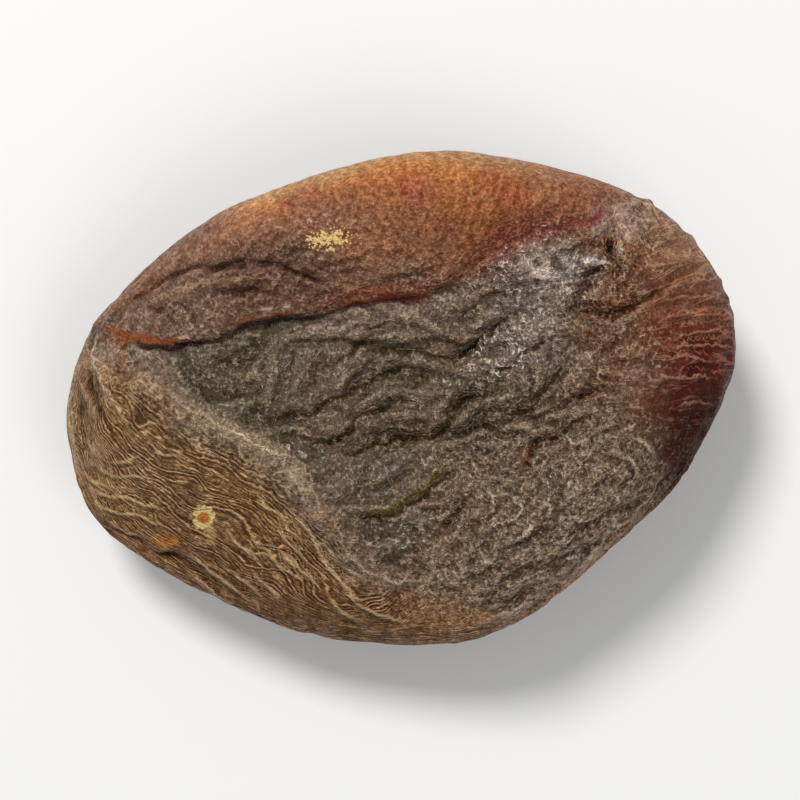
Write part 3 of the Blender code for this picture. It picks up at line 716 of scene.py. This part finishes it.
# darkest red low on the right end: deep red skin with painted shade
colour = blend(colour, srgb(84, 22, 4), redder * smooth(7.0, 2.0, y + 0.8 * drift2) * smooth(13.5, 17.0, x + 0.6 * drift))
colour = blend(colour, srgb(144, 118, 104), smooth(10.6, 11.8, x + 0.4 * drift2) * smooth(8.8, 9.6, y) * smooth(11.6, 10.8, y) * smooth(15.0, 13.2, x) * upper * 0.9)
shade = smooth(12.6, 17.2, x + 0.8 * drift2) * smooth(3.4, -1.4, y + 0.8 * drift) * smooth(-12.5, -5, y) * smooth(-0.45, 0.10, ball[:, 2] + 0.1 * drift)
colour = blend(colour, srgb(56, 13, 1), shade)
under = smooth(0.04, -0.56, ball[:, 2] + 0.18 * drift + 0.06 * drift2)
colour = blend(colour, srgb(114, 80, 52), under)
colour = blend(colour, srgb(98, 60, 36), under * smooth(-0.1, 0.6, noise(body, 6.0, 2, 2)))
colour = blend(colour, srgb(112, 102, 42), olive * 0.9)
# wide uneven staining, then lighter and darker patches at given places; the lighter patch round (6, 2.5) is painted
# sheen
colour *= (1.0 + 0.10 * noise(body, 5.5, 7, 2) + (0.10 - 0.05 * amber) * drift2)[:, None]
colour *= (1.0 + (0.08 * smooth(-13.0, -16.5, x) + 0.24 * smooth(-16.2, -17.6, x) * smooth(-6.0, -3.5, y)) * flank + 0.27 * smooth(2.8, 1.2, np.hypot(x + 2.0, y - 7.4)) + 0.22 * smooth(2.2, 1.0, np.hypot(x - 8.6, y + 11.0))
           - 0.16 * smooth(1.7, 0.8, np.hypot(x + 16.0, y - 1.2)) + 0.15 * smooth(2.6, 1.0, np.hypot(x + 7.7, y + 8.3)) + 0.12 * smooth(2.2, 1.0, np.hypot(x - 6.0, y - 2.5))
           - 0.27 * smooth(2.2, 1.0, np.hypot(x + 1.0, y + 8.0)) + 0.18 * smooth(3.0, 1.2, np.hypot(x - 3.0, y + 12.0)) + 0.22 * smooth(1.6, 0.7, np.hypot(x - 12.7, y - 10.1)) + 0.36 * smooth(1.6, 0.8, np.hypot(x + 14.3, y - 1.8)))[:, None]


def spot(px, py, rx, ry, soft=0.5, rough=0.3):
    """A blotch on the crown with ragged edges, 0 to 1."""
    r = np.hypot((xy[:, 0] - px) / rx, (xy[:, 1] - py) / ry) + rough * noise(body, 0.7, 6, 2)
    return smooth(1.0 + soft, 1.0 - soft, r) * upper


yellow = smooth(2.0, 0.0, np.hypot((x + 3.9) / 1.22, (y - 9.1 - 0.06 * (x + 3.9)) / 0.48) + 0.25 * noise(body, 0.8, 2, 2)) * upper
# painted sheen: a whitish patch on the panel's upper right
painted_sheen_patch = spot(8.5, 7.6, 1.3, 1.0, 0.7) * smooth(-0.6, 0.4, noise(body, 0.5, 3))
colour = blend(colour, srgb(206, 192, 182), 0.80 * painted_sheen_patch)
# painted glints: two near-white streaks near the fold's right part
colour = blend(colour, srgb(250, 232, 232), 0.92 * np.maximum(spot(10.85, 8.0, 0.46, 0.18, 0.35, 0.15), spot(11.65, 7.9, 0.30, 0.10, 0.4, 0.15)))
# marks on the crown; the near-white spot on the crest at (-5.55, -3.25) and the cream spots at (-12.5, 3.62) and
# (-12.3, 4.9) are painted glints
for px, py, rx, ry, c in ((-13.9, -8.4, 0.78, 0.36, (208, 128, 30)), (-18.75, -0.4, 0.24, 1.1, (78, 50, 28)), (-17.75, 0.4, 0.18, 0.9, (88, 60, 34)), (-16.3, 2.7, 0.30, 0.55, (132, 74, 38)), (-5.55, -3.25, 0.17, 0.14, (250, 240, 222)), (-12.5, 3.62, 0.34, 0.11, (214, 176, 156)), (-12.3, 4.9, 0.12, 0.36, (190, 164, 138)), (-13.6, -9.4, 0.7, 0.26, (70, 30, 26)), (-16.4, 3.5, 0.7, 0.30, (140, 84, 42)), (7.3, -3.5, 0.30, 0.6, (112, 58, 34)),
                          (13.3, 8.8, 0.45, 0.40, (124, 72, 44)), (11.85, 9.1, 0.16, 0.4, (176, 96, 44)), (12.1, 8.7, 0.22, 0.55, (48, 20, 10)), (12.75, 7.6, 0.42, 0.22, (48, 24, 12)), (12.1, 8.7, 0.16, 0.45, (36, 14, 8))):
    colour = blend(colour, srgb(*c), 0.75 * spot(px, py, rx, ry))

# lines along the fold, drawn by the skin from the distance to it: painted shadow in the slot, a painted orange glow,
# dark red that is painted shadow in the fold's middle and crimson skin at its right end, and a painted highlight on the
# lip
fold_off = np.clip(off, -3.0, 3.0) * (1.0 - 0.12 * smooth(-11.4, -12.6, x)) + 0.10 * noise(body, 0.8, 3) + 0.05 * noise(body, 0.4, 4)
fold_slot_shadow = upper * (smooth(-16.0, -15.0, x) * smooth(-11.0, -12.0, x) * 1.1 + smooth(-9.9, -9.2, x) * smooth(-3.0, -5.0, x)
                     + 0.85 * smooth(-4.4, -3.2, x) * smooth(1.6, 0.2, x) + 0.6 * smooth(-13.2, -12.6, x) * smooth(-10.9, -11.6, x))
fold_glow = upper * (1.1 * smooth(-17.6, -16.8, x) * smooth(-12.2, -13.6, x) + 0.55 * smooth(-9.8, -8.8, x) * smooth(-5.6, -6.6, x)
                     + 0.5 * smooth(-4.2, -3.2, x) * smooth(1.4, -0.2, x))
fold_red_and_shadow = upper * (smooth(-2.6, -1.0, x) * smooth(2.4, 0.8, x) + smooth(6.5, 10.2, x) * smooth(12.2, 11.4, x))
fold_lip_highlight = upper * (smooth(-8.6, -7.8, x) * smooth(-5.4, -5.9, x) + 0.5 * smooth(-15.4, -14.6, x) * smooth(-13.0, -13.6, x))
# where the skin is moist: less rough and more specular, and painted glints in its colour
moist_and_glint = 0.18 * panel + 0.22 * lobe + 0.10 * rim + 0.06 * band
for mx, my, mr, much in ((5.6, 2.8, 1.7, 1.0), (4.8, 1.8, 1.0, 0.9), (6.6, 7.1, 1.7, 0.8), (8.9, 7.8, 1.9, 0.8), (3.0, 4.2, 0.45, 0.8), (5.2, -7.5, 1.1, 0.6), (0.1, -7.9, 0.9, 0.6),
                         (9.4, -4.6, 2.2, 0.45), (8.6, -8.2, 2.4, 0.45), (14.0, 3.0, 1.6, 0.35), (-6.1, -3.1, 0.5, 0.8), (3.2, 0.6, 1.3, 0.5), (7.6, 4.6, 1.2, 0.7),
                         (-11.6, 5.0, 1.0, 0.4), (12.4, 6.8, 1.8, 0.3), (16.6, -1.2, 0.9, 0.5), (-4.2, 9.2, 1.4, 0.4), (2.6, -4.2, 1.6, 0.35)):
    moist_and_glint = np.maximum(moist_and_glint, much * spot(mx, my, mr, mr, 0.6, 0.5))

# ============================================================== the mesh
me.vertices.foreach_set("co", (P * MM).astype(np.float32).ravel())
me.update()
me.shade_smooth()


def attribute(name, values):
    values = np.asarray(values, np.float32)
    if values.ndim == 2:
        a = me.attributes.new(name, "FLOAT_COLOR", "POINT")
        a.data.foreach_set("color", np.column_stack([values, np.ones(len(values), np.float32)]).ravel())
    else:
        a = me.attributes.new(name, "FLOAT", "POINT")
        a.data.foreach_set("value", values)


attribute("tint", np.clip(colour, 0.0, 1.0))
attribute("wrinkle", fine_n * 0.5 + 0.5)
attribute("swell", coarse_n * 0.5 + 0.5)
attribute("streaky", streaky)
attribute("thread", thread)
attribute("ribbed", np.clip(rim, 0, 1))
attribute("hairy", np.clip(amber + 0.5 * band, 0, 1))
attribute("outward", outward)
attribute("around", turn * 18.0 * smooth(6.0, 10.0, x))
attribute("patch", patchy)
attribute("moist_and_glint", moist_and_glint * (1 - 0.85 * shade))
attribute("shade", shade)
attribute("deep", np.maximum(shade, 0.7 * redder * smooth(7.0, 3.0, y)))
attribute("yellow", yellow)
attribute("grit", by_zone(0.60, 0.50, 0.74, 1.04, 0.80, 0.7, 0.72) + 0.25 * panel * smooth(2.0, 5.0, x) + 0.35 * flank * smooth(-2.4, -0.6, crest_off))
attribute("pale_and_glint_off", np.clip(pale_and_glint_off, -1, 1))
attribute("pale_and_glint_much", pale_and_glint_much)
attribute("shade_line_off", np.clip(shade_line_off, -1, 1))
attribute("shade_line_much", shade_line_much)
attribute("fold_off", fold_off)
attribute("fold_slot_shadow", fold_slot_shadow)
attribute("fold_glow", fold_glow)
attribute("fold_red_and_shadow", fold_red_and_shadow)
attribute("fold_lip_highlight", fold_lip_highlight)

# the ball unfolded to a square, for the record of the surface's detail
loops = np.empty(len(me.loops), np.int32)
me.loops.foreach_get("vertex_index", loops)
mid = ball[tri].mean(1)
sx = np.repeat(np.where(mid[:, 0] >= 0, 1.0, -1.0), 3)
sy = np.repeat(np.where(mid[:, 1] >= 0, 1.0, -1.0), 3)
down = np.repeat(mid[:, 2] < 0, 3)
b = ball[loops]
span = np.where(down, sx * b[:, 0] + sy * b[:, 1] + np.abs(b[:, 2]), np.abs(b).sum(1))
u, v = b[:, 0] / span, b[:, 1] / span
u2, v2 = np.where(down, (1 - sy * v) * sx, u), np.where(down, (1 - sx * u) * sy, v)
uv = np.stack([u2, v2], 1) * 0.5 * 0.985 + 0.5
layer = me.uv_layers.new(name="OFBake")
layer.data.foreach_set("uv", uv.astype(np.float32).ravel())

piece = bpy.data.objects.new("apricot_fruit", me)
bpy.context.scene.collection.objects.link(piece)

# =============================================================== the skin


def skin():
    m = bpy.data.materials.new("apricot_skin_fine")
    m.use_nodes = True
    t = m.node_tree
    t.nodes.clear()
    link = t.links.new

    def node(kind, **values):
        n = t.nodes.new(kind)
        for key, value in values.items():
            setattr(n, key, value)
        return n

    def attr(name, socket="Fac"):
        n = node("ShaderNodeAttribute", attribute_name=name)
        return n.outputs[socket]

    def math_(op, a, b=None, clamp=False):
        n = node("ShaderNodeMath", operation=op, use_clamp=clamp)
        for i, value in enumerate((a, b)):
            if value is None:
                continue
            if isinstance(value, (int, float)):
                n.inputs[i].default_value = value
            else:
                link(value, n.inputs[i])
        return n.outputs[0]

    def mapped(value, a, b, c, d, smoother=False):
        n = node("ShaderNodeMapRange", interpolation_type="SMOOTHSTEP" if smoother else "LINEAR")
        link(value, n.inputs["Value"])
        for key, number in zip(("From Min", "From Max", "To Min", "To Max"), (a, b, c, d)):
            n.inputs[key].default_value = number
        return n.outputs[0]

    def mix_value(f, a, b):
        n = node("ShaderNodeMix", data_type="FLOAT")
        for i, value in ((0, f), (2, a), (3, b)):
            if isinstance(value, (int, float)):
                n.inputs[i].default_value = value
            else:
                link(value, n.inputs[i])
        return n.outputs[0]

    def mix_colour(f, a, b, how="MIX"):
        n = node("ShaderNodeMix", data_type="RGBA", blend_type=how, clamp_factor=True)
        for i, value in ((0, f), (6, a), (7, b)):
            if isinstance(value, (int, float)):
                n.inputs[i].default_value = value
            elif isinstance(value, (tuple, list, np.ndarray)):
                n.inputs[i].default_value = (*value, 1.0)
            else:
                link(value, n.inputs[i])
        return n.outputs[2]

    place = node("ShaderNodeTexCoord").outputs["Object"]

    def grain(size_mm, detail=2.0, rough=0.55, vector=None, warp=0.0):
        n = node("ShaderNodeTexNoise", noise_dimensions="3D")
        n.inputs["Scale"].default_value = 1.0 / size_mm if vector is not None else 1000.0 / size_mm
        n.inputs["Detail"].default_value = detail
        n.inputs["Roughness"].default_value = rough
        n.inputs["Distortion"].default_value = warp
        link(vector if vector is not None else place, n.inputs["Vector"])
        return n.outputs["Fac"]

    def add(*values):
        total = values[0]
        for value in values[1:]:
            total = math_("ADD", total, value)
        return total

    def times(*values):
        total = values[0]
        for value in values[1:]:
            total = math_("MULTIPLY", total, value)
        return total

    def about(value, amount):
        """The value, 0.5 in its middle, as a swing of the given amount about 0."""
        return math_("MULTIPLY", math_("SUBTRACT", value, 0.5), amount)

    def crossing(value, width):
        """1 along the thin lines where a noise crosses its middle."""
        return mapped(math_("ABSOLUTE", math_("SUBTRACT", value, 0.5)), 0.0, width, 1.0, 0.0, True)

    def beside(distance, middle, width):
        return mapped(math_("ABSOLUTE", math_("SUBTRACT", distance, middle)), width * 0.25, width, 1.0, 0.0, True)

    def combined(a, b, c):
        n = node("ShaderNodeCombineXYZ")
        for i, value in enumerate((a, b, c)):
            if isinstance(value, (int, float)):
                n.inputs[i].default_value = value
            else:
                link(value, n.inputs[i])
        return n.outputs[0]

    apart = node("ShaderNodeSeparateXYZ")
    link(place, apart.inputs[0])
    px, py, pz = (times(apart.outputs[k], 1000.0) for k in range(3))      # mm
    # streaks round the outline, ribs across it, hairs over the shoulder
    patches = grain(1.1, 2.0, 0.5)
    crumbs = grain(0.36, 2.0, 0.6)
    streak = grain(1.0, 1.0, 0.5, combined(times(add(attr("outward"), about(patches, 0.7)), 2.7), times(px, 0.36), times(py, 0.36)), 0.25)
    finer = grain(1.0, 1.0, 0.5, combined(times(add(attr("outward"), about(patches, 0.7)), 4.6), times(px, 0.9), times(py, 0.9)), 0.3)
    stepping = add(attr("thread"), about(patches, 0.90), about(crumbs, 0.28))
    threads = math_("FRACT", stepping)
    ribs = grain(1.0, 1.5, 0.5, combined(times(attr("around"), 1.5), times(attr("outward"), 0.22), 3.0), 0.25)
    hairs = grain(1.0, 2.0, 0.55, combined(add(times(px, 4.0), times(py, -2.7)), add(times(px, 0.8), times(py, 1.2)), times(pz, 1.8)), 0.3)
    curls = grain(1.25, 1.5, 0.5, warp=1.6)
    small_curls = grain(0.75, 1.5, 0.5, warp=1.2)
    specks = grain(0.19, 1.5, 0.6)
    blotch = grain(1.8, 3.0, 0.6)
    broken = mapped(patches, 0.42, 0.60, 0.0, 1.0, True)
    broken_too = mapped(crumbs, 0.36, 0.56, 0.0, 1.0, True)
    streaky, ribbed, hairy = attr("streaky"), attr("ribbed"), attr("hairy")
    plain = math_("SUBTRACT", 1.0, math_("MAXIMUM", math_("MAXIMUM", streaky, ribbed), hairy), True)
    line = times(add(times(crossing(curls, 0.036), broken, 1.5), times(crossing(small_curls, 0.050), math_("SUBTRACT", 1.0, broken))), broken_too, plain)
    each = node("ShaderNodeTexWhiteNoise", noise_dimensions="1D")
    link(math_("FLOOR", stepping), each.inputs["W"])
    streak_line = times(add(times(crossing(threads, 0.125), mapped(add(each.outputs["Value"], about(blotch, 2.6), about(curls, 1.2)), 0.25, 0.85, 0.06, 1.15, True)), times(crossing(streak, 0.038), 0.52), times(crossing(finer, 0.050), 0.20)), streaky, mapped(blotch, 0.32, 0.48, 0.55, 1.0, True), mapped(crumbs, 0.32, 0.46, 0.40, 1.0, True))
    valley = times(add(times(beside(math_("ABSOLUTE", math_("SUBTRACT", threads, 0.5)), 0.24, 0.15), mapped(add(each.outputs["Value"], about(blotch, 2.0)), 0.2, 0.8, 0.35, 1.0)), times(beside(math_("ABSOLUTE", math_("SUBTRACT", streak, 0.5)), 0.082, 0.040), 0.50)), streaky)
    rib_line = times(crossing(ribs, 0.036), ribbed, mapped(patches, 0.36, 0.52, 0.3, 1.0, True))
    amount = attr("grit")
    line = add(times(line, 2.3, amount), times(streak_line, 2.3), times(rib_line, 2.0))
    pale_and_glint_line = times(beside(attr("pale_and_glint_off"), times(about(crumbs, 0.55), mix_value(streaky, 1.0, 0.40)), 0.135), attr("pale_and_glint_much"), mapped(patches, 0.36, 0.5, 0.50, 1.0, True), mapped(specks, 0.3, 0.55, 0.65, 1.0))
    painted_shade_line = times(beside(attr("shade_line_off"), times(about(crumbs, 0.40), mix_value(streaky, 1.0, 0.40)), 0.21), attr("shade_line_much"))
    weave = add(times(about(streak, 0.3), streaky), times(about(attr("wrinkle"), 0.25), streaky), times(valley, -1.30))
    weave = add(weave, times(about(ribs, 2.2), ribbed), times(about(hairs, 0.70), hairy))
    moist_and_glint = attr("moist_and_glint")

    # lighter on the crests and darker between them: the skin's grain and pale lines, with painted light and shade on
    # the wrinkles and painted shade in the valleys between the flank's threads
    relief = add(times(add(about(specks, 3.6), about(crumbs, 2.2)), amount), times(line, 0.95), times(weave, 0.8), times(plain, -0.12), times(streaky, -0.02),
                 times(about(attr("wrinkle"), 0.60), amount), times(about(attr("swell"), 0.46), math_("SUBTRACT", amount, times(hairy, 0.62))))
    relief = times(relief, mapped(attr("shade"), 0.0, 1.0, 1.0, 0.30))
    tint = attr("tint", "Color")
    dark = mix_colour(1.0, tint, mix_colour(hairy, (0.30, 0.23, 0.15), (0.44, 0.33, 0.30)), "MULTIPLY")
    cream = mix_colour(streaky, srgb(222, 206, 182), srgb(224, 192, 146))
    pale = mix_colour(add(times(streaky, 0.44), times(plain, 0.10), 0.11), mix_colour(1.0, tint, (2.05, 1.98, 1.82), "MULTIPLY"), cream)
    base = mix_colour(mapped(relief, 0.0, -1.0, 0.0, 0.9), tint, dark)
    base = mix_colour(mapped(relief, 0.0, 1.1, 0.0, 1.0), base, pale)
    base = mix_colour(mapped(blotch, 0.35, 0.65, 0.0, 0.28), base, mix_colour(1.0, base, (1.22, 0.97, 0.78), "MULTIPLY"))
    base = mix_colour(mapped(crumbs, 0.56, 0.38, 0.0, 0.40), base, mix_colour(1.0, base, (0.95, 0.96, 1.08), "MULTIPLY"))
    base = mix_colour(times(mapped(add(attr("yellow"), about(crumbs, 2.6), about(specks, 2.2)), 0.54, 0.88, 0.0, 0.92, True), mapped(attr("yellow"), 0.05, 0.25, 0.0, 1.0, True)), base, srgb(240, 200, 124))
    # painted shade along the creases and beside raised strands, curls and the olive lip
    base = mix_colour(times(painted_shade_line, mix_value(crumbs, 0.75, 1.05)), base, mix_colour(1.0, base, (0.33, 0.26, 0.12), "MULTIPLY"))
    # pale lines of the skin, with painted glints on the curls and a painted highlight along the lower right edge
    base = mix_colour(times(pale_and_glint_line, 0.90), base, mix_colour(ribbed, mix_colour(streaky, mix_colour(hairy, srgb(218, 200, 172), srgb(204, 142, 88)), srgb(226, 192, 146)), srgb(200, 150, 118)))
    # painted glints: near-white specks where the skin is moist
    glint = times(mapped(add(times(specks, 0.5), times(crumbs, 0.5)), 0.545, 0.625, 0.0, 1.0, True), mapped(add(patches, times(relief, 0.14)), 0.41, 0.54, 0.0, 1.0, True), moist_and_glint)
    base = mix_colour(times(glint, 0.8), base, srgb(232, 222, 212))
    fold = attr("fold_off")
    # along the fold: painted glow, dark red that is partly painted shadow, painted shadow in the slot and a painted
    # highlight on the lip
    base = mix_colour(times(beside(fold, 0.18, 0.34), attr("fold_glow"), 0.70), base, srgb(148, 72, 18))
    base = mix_colour(times(beside(fold, 0.08, 0.42), attr("fold_red_and_shadow"), 0.68), base, srgb(118, 34, 32))
    base = mix_colour(times(beside(fold, -0.06, 0.28), attr("fold_slot_shadow"), 0.90), base, srgb(40, 14, 8))
    base = mix_colour(times(beside(fold, 0.58, 0.12), attr("fold_lip_highlight"), broken_too, broken, 0.6), base, srgb(206, 190, 166))

    # the corky spot: a brown ring in a ragged cream halo
    away = node("ShaderNodeVectorMath", operation="DISTANCE")
    link(combined(px, py, 0.0), away.inputs[0])
    away.inputs[1].default_value = (-11.5, -6.9, 0.0)
    ring = add(away.outputs["Value"], about(crumbs, 0.45), about(specks, 0.25))
    tail = node("ShaderNodeVectorMath", operation="DISTANCE")
    link(combined(times(px, 1.0), times(py, 0.6), 0.0), tail.inputs[0])
    tail.inputs[1].default_value = (-11.1, -7.9 * 0.6, 0.0)
    base = mix_colour(times(mapped(add(tail.outputs["Value"], about(crumbs, 1.2)), 0.40, 0.20, 0.0, 0.55, True), mapped(pz, 3.0, 5.0, 0.0, 1.0)), base, srgb(206, 172, 112))
    base = mix_colour(times(mapped(add(ring, about(specks, 0.5), about(crumbs, 0.5)), 0.82, 0.52, 0.0, 0.92, True), mapped(pz, 3.0, 5.0, 0.0, 1.0)), base, srgb(242, 214, 142))
    base = mix_colour(times(mapped(ring, 0.44, 0.28, 0.0, 0.95, True), mapped(pz, 3.0, 5.0, 0.0, 1.0)), base, srgb(204, 116, 34))
    base = mix_colour(times(mapped(add(ring, about(patches, 0.2)), 0.17, 0.06, 0.0, 0.65, True), mapped(pz, 3.0, 5.0, 0.0, 1.0)), base, srgb(134, 58, 22))

    shader = node("ShaderNodeBsdfPrincipled")
    link(base, shader.inputs["Base Color"])
    rough = add(mapped(relief, -0.6, 0.8, 0.60, 0.38), about(patches, 0.25), times(moist_and_glint, -0.14))
    link(rough, shader.inputs["Roughness"])
    shine = times(add(times(moist_and_glint, 0.30), 0.28), mapped(relief, -0.8, 0.1, 0.35, 1.0), math_("SUBTRACT", 1.0, times(painted_shade_line, 0.8), True))
    link(mix_value(attr("deep"), shine, 0.05), shader.inputs["Specular IOR Level"])
    shader.inputs["Subsurface Weight"].default_value = 0.08
    shader.inputs["Subsurface Radius"].default_value = (1.0, 0.35, 0.12)
    shader.inputs["Subsurface Scale"].default_value = 0.0008

    tall = times(add(about(specks, 1.4), about(crumbs, 1.6), times(line, 0.6), times(weave, 0.6)), mix_value(amount, 0.25, 1.0))
    tall = add(tall, times(pale_and_glint_line, 0.6), times(painted_shade_line, -0.8))
    bump = node("ShaderNodeBump")
    bump.inputs["Strength"].default_value = 1.0
    bump.inputs["Distance"].default_value = 0.00011
    link(tall, bump.inputs["Height"])
    link(bump.outputs[0], shader.inputs["Normal"])
    out = node("ShaderNodeOutputMaterial")
    link(shader.outputs[0], out.inputs["Surface"])
    return m


me.materials.append(skin())
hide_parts("apricot")
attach(piece, "root")
print("mesh", len(me.polygons), "faces", round(time.time() - CLOCK, 1), "s")

# ================================================== stage, light and camera
scene = bpy.context.scene
floor_mesh = bpy.data.meshes.new("floor")
floor_mesh.from_pydata([(-1.5, -1.5, 0), (1.5, -1.5, 0), (1.5, 1.5, 0), (-1.5, 1.5, 0)], [], [(0, 1, 2, 3)])
floor = bpy.data.objects.new("floor", floor_mesh)
floor.location.z = -0.00005
scene.collection.objects.link(floor)
paper = bpy.data.materials.new("floor_white")
paper.use_nodes = True
paper.node_tree.nodes["Principled BSDF"].inputs["Base Color"].default_value = (0.86, 0.86, 0.855, 1.0)
paper.node_tree.nodes["Principled BSDF"].inputs["Roughness"].default_value = 0.9
paper.node_tree.nodes["Principled BSDF"].inputs["Specular IOR Level"].default_value = 0.1
floor_mesh.materials.append(paper)
floor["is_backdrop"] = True

world = bpy.data.worlds.new("studio")
scene.world = world
world.use_nodes = True
world.node_tree.nodes["Background"].inputs[0].default_value = (1.0, 1.0, 1.0, 1.0)
world.node_tree.nodes["Background"].inputs[1].default_value = 0.36


def lamp(name, place, aim, size, power, colour=(1.0, 1.0, 1.0)):
    light = bpy.data.lights.new(name, "AREA")
    light.shape, light.size, light.energy, light.color = "DISK", size, power, colour
    o = bpy.data.objects.new(name, light)
    scene.collection.objects.link(o)
    o.location = place
    o.rotation_euler = (Vector(aim) - Vector(place)).to_track_quat("-Z", "Y").to_euler()


lamp("key", (-0.14, 0.25, 0.40), (0, 0, 0.006), 0.14, 1.75, (1.0, 0.985, 0.96))
lamp("fill", (0.20, -0.20, 0.46), (0, 0, 0.006), 0.30, 0.55, (0.97, 0.985, 1.0))

camera = bpy.data.objects.new("camera", bpy.data.cameras.new("camera"))
scene.collection.objects.link(camera)
camera.data.sensor_width = 36.0
camera.data.lens = 100.0
camera.data.clip_start = 0.01
camera.data.clip_end = 10.0
middle = Vector((0.0, 0.0, 0.008))
camera.location = middle + Vector((0.0, 0.0, 0.0475 * 100.0 / 36.0))
camera.rotation_euler = (0.0, 0.0, 0.0)
scene.camera = camera
scene.view_settings.view_transform = "Standard"
scene.view_settings.look = "None"

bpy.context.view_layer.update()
print("done", round(time.time() - CLOCK, 1), "s")
